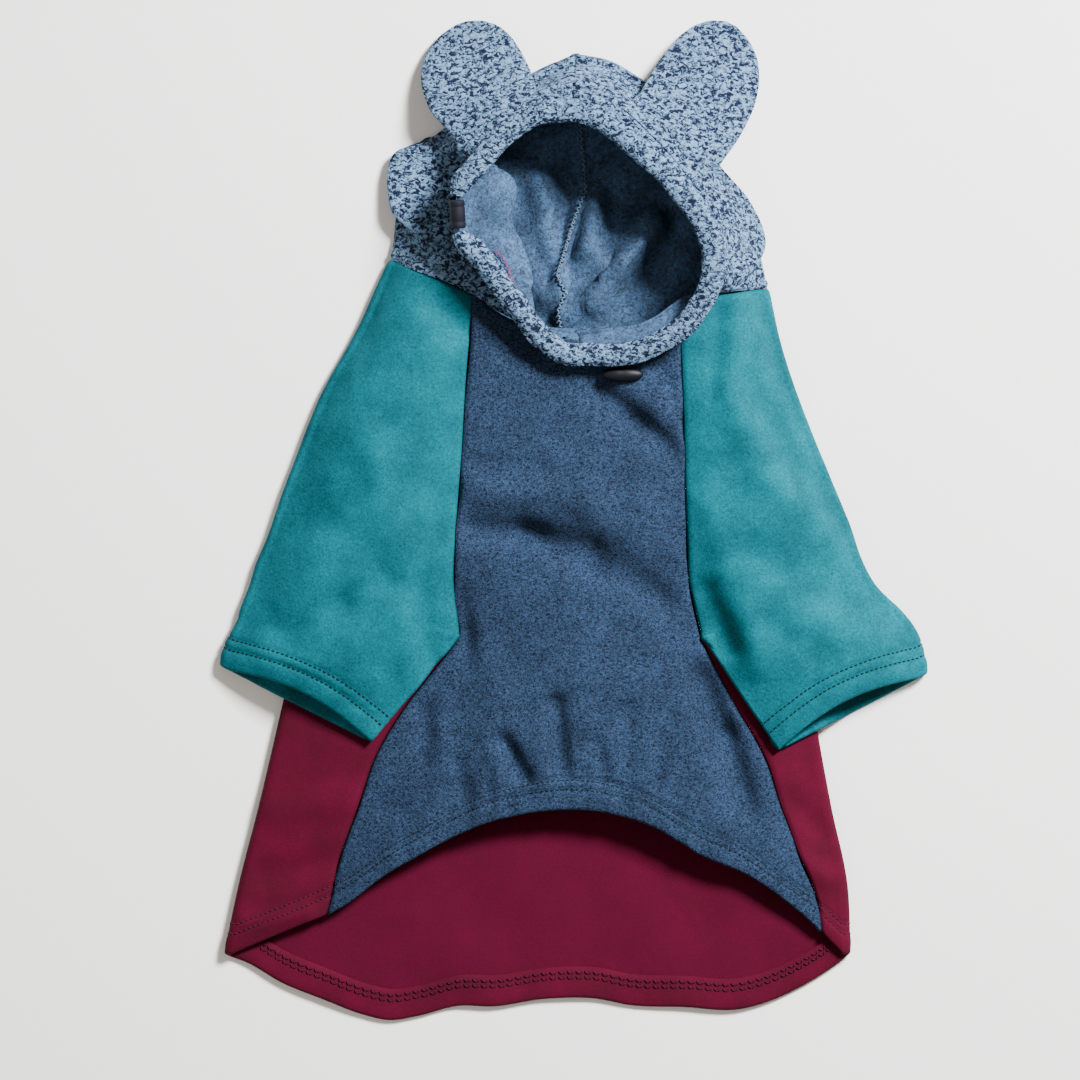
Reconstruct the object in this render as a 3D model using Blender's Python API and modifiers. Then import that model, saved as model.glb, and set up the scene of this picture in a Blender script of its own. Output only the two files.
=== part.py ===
"""A small dog's hoodie with eared hood and raglan sleeves, lying belly side up on a flat surface.

Metres, +Z up, hood towards +Y.  The garment is one flattened tube above the armpits and three
tubes below them.  Every panel is an open surface, its outer face, that Solidify makes a cloth wall.
In the plan functions y is 0 at the nape seam and falls towards the tail.
"""
import bisect
import functools
import math

import bmesh
import bpy
import numpy as np
from mathutils import Matrix, Vector

# Cloth and clearances
CLOTH = 0.0016
SEAM_GAP = 0.0008
LAY_GAP = 0.0005
FOLD_RADIUS = 0.0045

# Body
ARMPIT_DROP = 0.219
SIDE_SEAM = 0.1656
BELLY_WIDTH = 0.1416
BELLY_FLARE = 0.0762
FLAP_WIDTH = 0.0618
CORNER_DROP = 0.0234
TAIL_DROP = 0.0396
BELLY_SCOOP = 0.0624
NECK_SCOOP = 0.0372
NAPE_SCOOP = 0.050
BODY_HEIGHT = 0.027
BELLY_HEM_WIDTH = 0.012
BELLY_HEM_THICKNESS = 0.0042

# Sleeves
SLEEVE_NECK = 0.054
SLEEVE_WIDTH = 0.1296
CUFF_WIDTH = 0.102
CUFF_BOW = 0.008
UNDERARM = 0.0816
SLEEVE_HEIGHT = 0.031

# Hood
HOOD_WIDTH = 0.2256
HOOD_DEPTH = 0.1278
HOOD_HEIGHT = 0.055
MOUTH_WIDTH = 0.1536
MOUTH_LENGTH = 0.1452
MOUTH_CENTRE = (0.0054, 0.0216)
RIM_WIDTH = 0.0138
RIM_THICKNESS = 0.0066
EAR_LENGTH = 0.070
EAR_WIDTH = 0.0635
EAR_THICKNESS = 0.0046

# Cord stops
BARREL_LENGTH = 0.017
BARREL_WIDTH = 0.0092
TOGGLE_LENGTH = 0.025
TOGGLE_WIDTH = 0.0092
TOGGLE_THICKNESS = 0.0074

LEFT = -1
RIGHT = 1
SLEEVE_COLUMNS = 9
RIM_SIDES = 8

# Half width of the belly between the raglan seams, in shares of half BELLY_WIDTH;
# along is the share of ARMPIT_DROP
RAGLAN_ROWS = (
    # along, left, right
    (0.00, 0.860, 0.895),
    (0.20, 0.895, 0.898),
    (0.34, 0.924, 0.912),
    (0.48, 0.949, 0.924),
    (0.62, 0.980, 0.932),
    (0.75, 1.008, 0.949),
    (0.86, 1.015, 0.965),
    (1.00, 0.960, 1.060),
)

# What the side seams add to it below the armpits, in shares of BELLY_FLARE;
# along is the share of SIDE_SEAM
SIDE_ROWS = (
    # along, left, right
    (0.00, 0.000, 0.000),
    (0.26, 0.449, 0.290),
    (0.44, 0.677, 0.512),
    (0.61, 0.803, 0.635),
    (0.78, 0.937, 0.775),
    (1.00, 1.050, 0.945),
    (1.10, 1.090, 0.960),
)

# Body fold from the armpit to the hem corner, in shares of its way outwards
FOLD_ROWS = (
    # along, left, right
    (0.00, 0.00, 0.00),
    (0.30, 0.30, 0.31),
    (0.58, 0.58, 0.64),
    (0.80, 0.82, 0.94),
    (1.00, 1.00, 1.00),
)

# Where the back raglan seam reaches the fold, as a share of the sleeve's width from the armpit
FOLD_START = {LEFT: 0.75, RIGHT: 0.58}
# How much of FLAP_WIDTH shows on each side at the hem
FLAP_SHARE = {LEFT: 1.0, RIGHT: 0.30}
# Where the back raglan seam starts, as a share of half the neck
BACK_NECK_SHARE = 0.70

# Heights of the body's upper layer, in shares of BODY_HEIGHT; along is 1 at the armpit
# and 2 at the end of the side seam
HEIGHT_ROWS = (
    # along, seam, middle
    (0.00, 0.88, 0.98),
    (0.30, 0.93, 1.00),
    (0.60, 0.92, 1.00),
    (0.85, 0.78, 0.97),
    (1.00, 0.58, 0.94),
    (1.30, 0.50, 0.90),
    (1.60, 0.46, 0.84),
    (2.00, 0.40, 0.70),
)

# Front neckline from the left fold to the right one: place in shares of half the neck,
# drop in shares of NECK_SCOOP
NECK_ROWS = (
    # across, drop
    (-1.00, -0.16),
    (-0.84, -0.08),
    (-0.63, 0.18),
    (-0.54, 0.38),
    (-0.40, 0.69),
    (-0.16, 0.95),
    (0.13, 1.00),
    (0.40, 0.85),
    (0.56, 0.50),
    (0.75, 0.26),
    (0.86, 0.19),
    (1.00, 0.23),
)

# Scooped belly hem between the side seams: rise above their ends in shares of BELLY_SCOOP
SCOOP_ROWS = (
    # across, rise
    (-1.00, 0.00),
    (-0.92, 0.12),
    (-0.81, 0.35),
    (-0.66, 0.58),
    (-0.49, 0.80),
    (-0.14, 1.00),
    (0.10, 1.00),
    (0.40, 0.81),
    (0.56, 0.58),
    (0.77, 0.34),
    (0.88, 0.11),
    (1.00, -0.16),
)

# Tail hem between the hem corners: drop below them in shares of TAIL_DROP
TAIL_ROWS = (
    # across, drop
    (-1.00, 0.00),
    (-0.93, 0.14),
    (-0.84, 0.42),
    (-0.72, 0.68),
    (-0.60, 0.92),
    (-0.53, 1.00),
    (-0.45, 0.94),
    (-0.33, 0.78),
    (-0.23, 0.79),
    (-0.09, 0.68),
    (0.07, 0.67),
    (0.20, 0.77),
    (0.39, 0.80),
    (0.60, 0.83),
    (0.70, 0.72),
    (0.85, 0.42),
    (0.96, 0.12),
    (1.00, 0.00),
)

# Flat width of each sleeve in shares of SLEEVE_NECK, SLEEVE_WIDTH and CUFF_WIDTH, and how far
# the line across it lifts outwards; along is 1 at the armpit and 2 at the cuff
SLEEVE_ROWS = {
    LEFT: (
        # along, neck, arm, cuff, lift in degrees
        (0.00, 1.00, 0.00, 0.00, 22.9),
        (0.15, 0.84, 0.16, 0.00, 12.5),
        (0.37, 0.56, 0.44, 0.00, 9.5),
        (0.58, 0.37, 0.63, 0.00, 7.8),
        (0.79, 0.21, 0.79, 0.00, 8.2),
        (1.00, 0.00, 1.00, 0.00, 10.7),
        (1.33, 0.00, 0.67, 0.33, 14.5),
        (1.67, 0.00, 0.33, 0.68, 19.8),
        (2.00, 0.00, 0.00, 1.00, 26.6),
    ),
    RIGHT: (
        # along, neck, arm, cuff, lift in degrees
        (0.00, 1.00, 0.00, 0.00, 9.0),
        (0.15, 0.90, 0.09, 0.00, 6.5),
        (0.37, 0.74, 0.25, 0.00, 8.5),
        (0.58, 0.52, 0.46, 0.00, 8.9),
        (0.79, 0.30, 0.66, 0.00, 9.6),
        (1.00, 0.10, 0.80, 0.00, 14.3),
        (1.33, 0.00, 0.60, 0.34, 19.0),
        (1.67, 0.00, 0.30, 0.70, 23.8),
        (2.00, 0.00, 0.00, 0.99, 27.0),
    ),
}
UNDERARM_ANGLE = {LEFT: 40.2, RIGHT: 34.6}

# Height of the sleeve's upper layer along its middle, in shares of SLEEVE_HEIGHT
SLEEVE_HEIGHT_ROWS = (
    # along, height
    (0.00, 0.76),
    (0.20, 0.94),
    (0.60, 1.00),
    (1.00, 1.00),
    (1.50, 0.92),
    (2.00, 0.72),
)

# Folds and dents of the upper layers: ends in shares of half BELLY_WIDTH and of ARMPIT_DROP
# (x right, y down), half width and height in shares of BODY_HEIGHT
FOLDS = (
    # from x, from y, to x, to y, half width, height
    (0.21, 0.33, 0.86, 0.49, 0.26, -0.14),
    (-0.85, 0.51, 0.46, 0.55, 0.20, 0.05),
    (-0.92, 0.70, 0.15, 0.76, 0.30, -0.11),
    (0.15, 0.76, 0.80, 0.90, 0.34, -0.12),
    (-0.90, 0.60, 0.55, 0.63, 0.24, 0.07),
    (-0.98, 0.90, -0.90, 1.05, 0.24, -0.14),
    (1.12, 1.12, 1.40, 1.42, 0.44, -0.22),
    (-1.30, 1.20, -1.28, 1.34, 0.22, -0.10),
    (-0.58, 1.29, -0.44, 1.38, 0.22, -0.12),
    (-0.15, 1.18, -0.12, 1.35, 0.24, -0.10),
    (0.45, 1.20, 0.50, 1.36, 0.24, -0.08),
)

# Hood stations from the back centre seam round each side to the chin.  neck and rim are shares
# of the half loops, edge and crease are in shares of half HOOD_WIDTH, HOOD_DEPTH and HOOD_HEIGHT,
# roll is the share of FOLD_RADIUS at the edge, lap says how far the wall comes from inside the rim
HOOD_ROWS = {
    LEFT: (
        # neck, edge x, edge y, edge z, roll, crease x, crease y, crease z, lap, rim
        (0.000, 0.005, 1.000, 0.082, 1.0, -0.010, 0.850, 0.66, 0.0, 0.000),
        (0.130, -0.223, 0.915, 0.082, 1.0, -0.195, 0.790, 0.66, 0.0, 0.095),
        (0.255, -0.500, 0.800, 0.082, 1.0, -0.425, 0.695, 0.62, 0.0, 0.190),
        (0.370, -0.755, 0.625, 0.082, 1.0, -0.600, 0.555, 0.54, 0.2, 0.285),
        (0.454, -0.955, 0.530, 0.082, 1.0, -0.340, 0.425, 0.30, 1.0, 0.375),
        (0.506, -0.950, 0.275, 0.165, 1.0, -0.345, 0.235, 0.30, 1.0, 0.450),
        (0.550, -0.800, 0.130, 0.300, 0.3, -0.290, 0.120, 0.33, 1.0, 0.530),
        (0.650, -0.530, 0.000, 0.450, 0.0, -0.235, -0.045, 0.507, 1.0, 0.630),
        (0.730, -0.295, -0.116, 0.486, 0.0, -0.242, -0.105, 0.585, 1.0, 0.740),
        (0.858, -0.147, -0.287, 0.583, 0.0, -0.173, -0.289, 0.607, 1.0, 0.870),
        (1.000, 0.020, -0.325, 0.585, 0.0, 0.030, -0.355, 0.548, 1.0, 1.000),
    ),
    RIGHT: (
        # neck, edge x, edge y, edge z, roll, crease x, crease y, crease z, lap, rim
        (0.000, 0.005, 1.000, 0.082, 1.0, -0.010, 0.850, 0.66, 0.0, 0.000),
        (0.130, 0.250, 0.945, 0.082, 1.0, 0.197, 0.770, 0.69, 0.0, 0.100),
        (0.260, 0.560, 0.740, 0.082, 1.0, 0.425, 0.590, 0.69, 0.0, 0.215),
        (0.375, 0.785, 0.485, 0.086, 1.0, 0.615, 0.400, 0.65, 0.0, 0.330),
        (0.455, 0.945, 0.315, 0.090, 1.0, 0.765, 0.240, 0.56, 0.0, 0.430),
        (0.492, 1.018, 0.120, 0.165, 1.0, 0.850, 0.090, 0.50, 0.0, 0.520),
        (0.545, 0.930, -0.020, 0.400, 0.3, 0.815, -0.025, 0.56, 0.2, 0.595),
        (0.650, 0.785, -0.095, 0.500, 0.0, 0.700, -0.145, 0.59, 0.6, 0.690),
        (0.770, 0.590, -0.190, 0.530, 0.0, 0.545, -0.250, 0.59, 1.0, 0.790),
        (0.885, 0.350, -0.285, 0.540, 0.0, 0.330, -0.330, 0.57, 1.0, 0.890),
        (1.000, 0.020, -0.325, 0.525, 0.0, 0.030, -0.355, 0.54, 1.0, 1.000),
    ),
}

# Middle of the rolled rim round the mouth from the forehead to the chin: shares of half
# MOUTH_WIDTH, half MOUTH_LENGTH and HOOD_HEIGHT
RIM_ROWS = {
    LEFT: (
        # along, x, y, z
        (0.00, -0.086, 1.000, 0.95),
        (0.09, -0.375, 0.959, 0.95),
        (0.18, -0.609, 0.802, 0.93),
        (0.27, -0.797, 0.587, 0.91),
        (0.35, -0.955, 0.388, 0.88),
        (0.42, -1.000, 0.190, 0.86),
        (0.50, -0.955, -0.030, 0.84),
        (0.57, -0.805, -0.190, 0.82),
        (0.66, -0.656, -0.405, 0.79),
        (0.75, -0.500, -0.628, 0.75),
        (0.85, -0.320, -0.868, 0.70),
        (0.92, -0.148, -0.983, 0.67),
        (1.00, 0.031, -1.000, 0.65),
    ),
    RIGHT: (
        # along, x, y, z
        (0.00, -0.086, 1.000, 0.95),
        (0.08, 0.125, 0.926, 0.98),
        (0.19, 0.406, 0.702, 1.00),
        (0.30, 0.672, 0.438, 1.00),
        (0.41, 0.883, 0.149, 0.98),
        (0.49, 0.984, -0.091, 0.95),
        (0.55, 1.000, -0.256, 0.91),
        (0.63, 0.953, -0.496, 0.86),
        (0.72, 0.812, -0.727, 0.79),
        (0.81, 0.609, -0.884, 0.73),
        (0.90, 0.367, -0.985, 0.68),
        (0.95, 0.200, -1.005, 0.66),
        (1.00, 0.031, -1.000, 0.65),
    ),
}
BARREL_ALONG = 0.435

# Puffed folds of the hood's lower layer inside: ends in shares of half HOOD_WIDTH and HOOD_DEPTH,
# half width and height in shares of HOOD_HEIGHT
HOOD_FOLDS = (
    # from x, from y, to x, to y, half width, height
    (-0.03, -0.13, 0.16, 0.02, 0.13, 0.13),
    (0.16, 0.02, 0.40, 0.22, 0.15, 0.17),
    (0.03, 0.30, 0.11, 0.08, 0.10, 0.09),
)

# Ears: axis in degrees from +Y, length share, hood stations of the base, outline half widths
EARS = {
    LEFT: dict(axis=19.5, length=0.90, stations=(1.0, 2.9)),
    RIGHT: dict(axis=-27.0, length=1.25, stations=(1.25, 3.3)),
}
EAR_BASE_LEVEL = 4.9
EAR_ROWS = (
    # along, outer half, inner half, height as a share of the base's
    (0.00, 0.50, 0.50, 1.00),
    (0.20, 0.54, 0.47, 0.78),
    (0.40, 0.56, 0.46, 0.55),
    (0.60, 0.54, 0.43, 0.36),
    (0.78, 0.45, 0.37, 0.22),
    (0.90, 0.32, 0.27, 0.13),
    (0.97, 0.17, 0.15, 0.09),
    (1.00, 0.06, 0.05, 0.08),
)

# Colours and finishes of the cloths and of the plastic
FINISHES = {
    "teal": ((0.004, 0.300, 0.330, 1.0), 0.85),
    "burgundy": ((0.140, 0.004, 0.022, 1.0), 0.85),
    "heather": ((0.045, 0.065, 0.120, 1.0), 0.90),
    "speckle": ((0.330, 0.400, 0.520, 1.0), 0.90),
    "black": ((0.008, 0.009, 0.014, 1.0), 0.30),
}


def smooth(xs, ys, at):
    """Value of a smooth curve through the points xs, ys, held at both ends."""
    last = len(xs) - 1
    at = min(max(at, xs[0]), xs[last])
    i = min(bisect.bisect_right(xs, at) - 1, last - 1)
    slopes = {k: (ys[k + 1] - ys[k]) / (xs[k + 1] - xs[k])
              for k in range(max(i - 1, 0), min(i + 2, last))}
    tangents = []
    for k in (i, i + 1):
        before = slopes.get(k - 1, slopes.get(k))
        after = slopes.get(k, slopes.get(k - 1))
        reach_before = xs[k] - xs[k - 1] if k else 1.0
        reach_after = xs[k + 1] - xs[k] if k < last else 1.0
        total = reach_before + reach_after
        tangents.append((before * reach_after + after * reach_before) / total)
    h = xs[i + 1] - xs[i]
    t = (at - xs[i]) / h
    return (
        ys[i] * (1 + 2 * t) * (1 - t) ** 2
        + tangents[0] * h * t * (1 - t) ** 2
        + ys[i + 1] * t * t * (3 - 2 * t)
        + tangents[1] * h * t * t * (t - 1)
    )


@functools.lru_cache(maxsize=None)
def column(rows, number):
    """One column of a table."""
    return tuple(float(row[number]) for row in rows)


@functools.lru_cache(maxsize=200000)
def table(rows, number, at):
    """Smooth value of a table's column at a place in its first column."""
    return smooth(column(rows, 0), column(rows, number), at)


def side_column(side):
    """Column of the left or right value in a table that has both."""
    return 1 if side == LEFT else 2


def ease(share):
    """Smooth step from 0 to 1."""
    share = min(max(share, 0.0), 1.0)
    return share * share * (3 - 2 * share)


def along_body(y):
    """Place down the body: 1 at the armpit, 2 at the end of the side seam."""
    drop = -y
    if drop < ARMPIT_DROP:
        return drop / ARMPIT_DROP
    return 1 + (drop - ARMPIT_DROP) / SIDE_SEAM


def seam_half(side, y):
    """Half width of the belly panel at y: raglan seam above the armpit, side seam below."""
    along = along_body(y)
    half = BELLY_WIDTH / 2 * table(RAGLAN_ROWS, side_column(side), min(along, 1.0))
    if along > 1:
        half += BELLY_FLARE * table(SIDE_ROWS, side_column(side), along - 1)
    return half


def ridge(x, y, folds, width, length, height):
    """Height that the folds of a table add at a place."""
    total = 0.0
    for from_x, from_y, to_x, to_y, half_width, share in folds:
        ax, ay = from_x * width, from_y * length
        bx, by = to_x * width, to_y * length
        span = (bx - ax) ** 2 + (by - ay) ** 2
        t = ((x - ax) * (bx - ax) + (y - ay) * (by - ay)) / span
        t = min(max(t, 0.0), 1.0)
        distance = math.hypot(x - ax - t * (bx - ax), y - ay - t * (by - ay))
        total += share * height * math.exp(-((distance / (half_width * height)) ** 2))
    return total


def body_top(x, y):
    """Height of the belly panel's outer face."""
    side = LEFT if x < 0 else RIGHT
    along = along_body(y)
    seam = BODY_HEIGHT * table(HEIGHT_ROWS, 1, along)
    middle = BODY_HEIGHT * table(HEIGHT_ROWS, 2, along)
    across = min(abs(x) / seam_half(side, y), 1.0)
    dents = ridge(x, y, FOLDS, BELLY_WIDTH / 2, -ARMPIT_DROP, BODY_HEIGHT)
    return seam + (middle - seam) * (1 - across**2) + dents * (1 - across**6)


def neck_half():
    """Half width of the flattened neck, from the front centre to the fold."""
    start = BELLY_WIDTH / 2 * (column(RAGLAN_ROWS, 1)[0] + column(RAGLAN_ROWS, 2)[0]) / 2
    return start + SLEEVE_NECK * 0.95


def neckline_y(x):
    """Place of the front neckline at x."""
    return -NECK_SCOOP * table(NECK_ROWS, 1, x / neck_half())


def nape_y(x):
    """Place of the nape seam on the floor, scooped between the two neck folds."""
    left = sleeve_fold(LEFT, 0.0)
    right = sleeve_fold(RIGHT, 0.0)
    share = (x - left[0]) / (right[0] - left[0])
    return left[1] + (right[1] - left[1]) * share - NAPE_SCOOP * 4 * share * (1 - share)


def raglan_top_y(side):
    """Place where the front raglan seam meets the neckline."""
    y = 0.0
    for _ in range(12):
        y = neckline_y(side * seam_half(side, y))
    return y


def sleeve_seam(side, along):
    """Inner edge of the sleeve in plan: raglan seam to the armpit, then the underarm."""
    top = raglan_top_y(side)
    if along <= 1:
        y = top + (-ARMPIT_DROP - top) * along
        return np.array((side * seam_half(side, y), y))
    angle = math.radians(UNDERARM_ANGLE[side])
    reach = UNDERARM * (along - 1)
    pit = np.array((side * seam_half(side, -ARMPIT_DROP), -ARMPIT_DROP))
    return pit + reach * np.array((side * math.sin(angle), -math.cos(angle)))


def sleeve_fold(side, along):
    """Outer fold of the sleeve in plan."""
    rows = SLEEVE_ROWS[side]
    width = SLEEVE_NECK * table(rows, 1, along)
    width += SLEEVE_WIDTH * table(rows, 2, along)
    width += CUFF_WIDTH * table(rows, 3, along)
    lift = math.radians(table(rows, 4, along))
    return sleeve_seam(side, along) + width * np.array((side * math.cos(lift), math.sin(lift)))


def sleeve_pivot(side):
    """Point in plan where the sleeve's back raglan seam reaches the body's fold."""
    inner = sleeve_seam(side, 1.0)
    return inner + FOLD_START[side] * (sleeve_fold(side, 1.0) - inner)


def fold_start(side):
    """Point in plan where the body's fold starts, just inside the sleeve's lower layer."""
    return sleeve_pivot(side) - np.array((side * FOLD_RADIUS / 2, 0.0))


def back_seam(side, along):
    """Back raglan seam on the floor, from the nape to the body's fold."""
    neck_x = BACK_NECK_SHARE * sleeve_fold(side, 0.0)[0]
    start = np.array((neck_x, nape_y(neck_x)))
    end = sleeve_pivot(side)
    bow = math.sin(math.pi * along) * 0.03 * (end - start)[1]
    return start + (end - start) * along + np.array((side * bow, 0.0))


def back_seam_lift(along):
    """Height of the back raglan seam, which leaves the floor just before the fold."""
    return FOLD_RADIUS * ease((along - 0.8) / 0.2)


def hem_corner(side):
    """Point in plan where the body's fold ends at the hem."""
    end_y = -ARMPIT_DROP - SIDE_SEAM
    half = seam_half(side, end_y) + FLAP_WIDTH * FLAP_SHARE[side]
    return np.array((side * half, end_y - CORNER_DROP))


def fold_half(side, y):
    """Half width of the body at its fold."""
    start = fold_start(side)
    end = hem_corner(side)
    along = (y - start[1]) / (end[1] - start[1])
    share = table(FOLD_ROWS, side_column(side), along)
    return abs(start[0] + (end[0] - start[0]) * share)


def flap_top(side, x, y):
    """Height of the back panel's flap, from the fold to the side seam."""
    outer = fold_half(side, y)
    inner = seam_half(side, y)
    share = ease((outer - abs(x)) / (outer - inner))
    seam = BODY_HEIGHT * table(HEIGHT_ROWS, 1, max(along_body(y), 1.0))
    fold = 2 * FOLD_RADIUS
    edge = outer - abs(x)
    if edge < FOLD_RADIUS:
        rest = FOLD_RADIUS - max(edge, 0.0)
        fold = FOLD_RADIUS + math.sqrt(max(FOLD_RADIUS**2 - rest**2, 0.0))
    return fold + (seam - 2 * FOLD_RADIUS) * share


def laid_height(side, x, y):
    """Height of a layer that lies on the floor beside the body and climbs on to its flap."""
    run_up = 5 * FOLD_RADIUS
    beyond = abs(x) - fold_half(side, y)
    if beyond >= run_up:
        return 0.0
    if abs(x) <= seam_half(side, y):
        return body_top(x, y) + 2 * LAY_GAP
    if beyond <= -FOLD_RADIUS:
        return flap_top(side, x, y) + 2 * LAY_GAP
    flap = flap_top(side, side * (fold_half(side, y) - FOLD_RADIUS), y) + 2 * LAY_GAP
    return flap * ease((run_up - beyond) / (run_up + FOLD_RADIUS))


def fold_angles(count):
    """Angles of a half round fold from its upper to its lower end."""
    return [math.pi / 2 - math.pi * (k + 1) / (count + 1) for k in range(count)]


def sleeve_section(side, along, top_count, below):
    """Points of one section from the seam over the upper layer, round the fold and back below.

    With below False the lower layer ends at the back raglan seam, else at the underarm.
    """
    inner = sleeve_seam(side, along)
    outer = sleeve_fold(side, along)
    out = (outer - inner) / np.linalg.norm(outer - inner)
    centre = outer - FOLD_RADIUS * out
    hem = CUFF_BOW * ease(2 * along - 3)
    down = np.array((out[1], -out[0])) * side
    crown = SLEEVE_HEIGHT * table(SLEEVE_HEIGHT_ROWS, 1, along)
    closed = along > 1 or (below and along == 1)
    if closed:
        start = laid_height(side, *inner) + FOLD_RADIUS * ease((along - 1) * 4)
    else:
        start = BODY_HEIGHT * table(HEIGHT_ROWS, 1, along_body(inner[1]))
    points = []
    for k in range(top_count + 1):
        share = k / top_count
        shape = smooth((0, 0.12, 0.45, 0.78, 1), (0, 0.52, 1, 0.62, 0), share)
        level = start + (2 * FOLD_RADIUS - start) * share
        height = level + (crown - level) * shape
        plan = inner + (centre - inner) * share - down * hem * math.sin(math.pi * share)
        points.append((plan[0], plan[1], height))
    for angle in fold_angles(3):
        plan = centre + out * FOLD_RADIUS * math.cos(angle)
        points.append((plan[0], plan[1], FOLD_RADIUS * (1 + math.sin(angle))))
    pivot = inner + FOLD_START[side] * (outer - inner) if below else back_seam(side, along)
    for share in np.linspace(0, 1, 5):
        plan = centre + (pivot - centre) * share
        if below:
            height = laid_height(side, *plan)
        else:
            height = back_seam_lift(along) * ease(share * 3 - 2)
        points.append((plan[0], plan[1], height))
    if below:
        hug = 1 - ease(2 * along - 2)
        points[-1] = (pivot[0], pivot[1], points[-1][2] * (1 - hug) + FOLD_RADIUS * hug)
        clear = (FOLD_RADIUS + 2 * LAY_GAP) * math.sqrt(0.5)
        plan = pivot - out * (1.5 * FOLD_RADIUS - clear)
        height = laid_height(side, *plan) * (1 - hug) + (FOLD_RADIUS + clear) * hug
        points.append((plan[0], plan[1], height))
        ledge = pivot - out * 1.5 * FOLD_RADIUS
        for share in np.linspace(0, 1, 6):
            plan = ledge + (inner - ledge) * share
            height = laid_height(side, *plan) if share < 1 else start
            points.append((plan[0], plan[1], height))
    return points


@functools.lru_cache(maxsize=None)
def neck_line(side):
    """Points of half the neck seam, from the nape round the fold to the front centre."""
    section = sleeve_section(side, 0.0, SLEEVE_COLUMNS, False)
    nape = [(x, nape_y(x), 0.0) for x in np.linspace(0.0, section[-1][0], 10)[:-1]]
    belly_edge = section[0]
    front = [(x, neckline_y(x), body_top(x, neckline_y(x)))
             for x in np.linspace(belly_edge[0], 0.0, 12)[1:]]
    points = np.array(nape + section[::-1] + front)
    points[:, 2] += 2 * LAY_GAP * np.clip(points[:, 2] / (2 * FOLD_RADIUS), 0.0, 1.0)
    lengths = np.concatenate(([0.0], np.cumsum(np.linalg.norm(np.diff(points, axis=0), axis=1))))
    return points, lengths


def neck_loop(side, share):
    """Point of the neck seam: 0 at the nape centre, 1 at the front centre."""
    points, lengths = neck_line(side)
    at = share * lengths[-1]
    return np.array([np.interp(at, lengths, points[:, k]) for k in range(3)])


def rim_point(side, share):
    """Middle of the rolled rim: 0 at the forehead, 1 at the chin."""
    rows = RIM_ROWS[side]
    x = MOUTH_CENTRE[0] + MOUTH_WIDTH / 2 * table(rows, 1, share)
    y = MOUTH_CENTRE[1] + MOUTH_LENGTH / 2 * table(rows, 2, share)
    return np.array((x, y, HOOD_HEIGHT * table(rows, 3, share)))


@functools.lru_cache(maxsize=None)
def hood_path(side, station):
    """Control points of the hood's outer face at a station, from the neck to the rim."""
    rows = HOOD_ROWS[side]
    steps = range(len(rows))
    neck, ex, ey, ez, roll, cx, cy, cz, lap, rim = (
        smooth(steps, column(rows, k), station) for k in range(10)
    )
    start = neck_loop(side, neck)
    edge = np.array((ex * HOOD_WIDTH / 2, ey * HOOD_DEPTH, ez * HOOD_HEIGHT))
    roll = min(max(roll, 0.0), 1.0)
    crease = np.array((cx * HOOD_WIDTH / 2, cy * HOOD_DEPTH, cz * HOOD_HEIGHT))
    inwards = crease - edge
    inwards[2] = 0.0
    inwards *= FOLD_RADIUS / np.linalg.norm(inwards)
    rise = np.array((0.0, 0.0, FOLD_RADIUS))
    under = edge + roll * (inwards - rise) + (1 - roll) * (start - edge) / 3
    over = edge + roll * (inwards + rise) + (1 - roll) * (crease - edge) / 3
    middle = (start + under) / 2
    finish = rim_point(side, rim)
    finish[2] -= RIM_THICKNESS / 2 + 2 * LAY_GAP + CLOTH * min(max(lap, 0.0), 1.0)
    return np.array((start, middle, under, edge, over, crease, finish))


def hood_point(side, station, level):
    """Point of the hood's outer face; level runs from 0 at the neck to 6 at the rim."""
    path = hood_path(side, station)
    steps = range(len(path))
    point = np.array([smooth(steps, path[:, k], level) for k in range(3)])
    if level < 2:
        puff = ridge(point[0], point[1], HOOD_FOLDS, HOOD_WIDTH / 2, HOOD_DEPTH, HOOD_HEIGHT)
        point[2] += puff * ease(level * 4) * ease((2 - level) * 2)
    point[2] = max(point[2], 0.0)
    return point


def new_object(name, mesh, finish):
    """Object with its own Principled material, in the hoodie's collection."""
    colour, roughness = FINISHES[finish]
    material = bpy.data.materials.new(name + "_finish")
    material.use_nodes = True
    shader = material.node_tree.nodes["Principled BSDF"]
    shader.inputs["Base Color"].default_value = colour
    shader.inputs["Roughness"].default_value = roughness
    shader.inputs["Metallic"].default_value = 0.0
    mesh.materials.append(material)
    piece = bpy.data.objects.new(name, mesh)
    bpy.data.collections["hoodie"].objects.link(piece)
    return piece


def surface_mesh(name, grids, flip):
    """Open surface of one or more grids that share their touching edges."""
    work = bmesh.new()
    for grid in grids:
        verts = [[work.verts.new(point) for point in row] for row in grid]
        for upper, lower in zip(verts, verts[1:]):
            for a, b, c, d in zip(upper, upper[1:], lower[1:], lower):
                work.faces.new((a, b, c, d) if flip else (d, c, b, a))
    bmesh.ops.remove_doubles(work, verts=work.verts, dist=1e-6)
    mesh = bpy.data.meshes.new(name)
    work.to_mesh(mesh)
    work.free()
    mesh.shade_smooth()
    return mesh


def cloth_panel(name, grids, flip, finish, thickness=CLOTH):
    """Panel of cloth: its outer face with a wall behind it."""
    panel = new_object(name, surface_mesh(name, grids, flip), finish)
    wall = panel.modifiers.new("wall", "SOLIDIFY")
    wall.thickness = thickness
    wall.offset = -1.0
    wall.use_even_offset = False
    wall.use_quality_normals = True
    return panel


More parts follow.
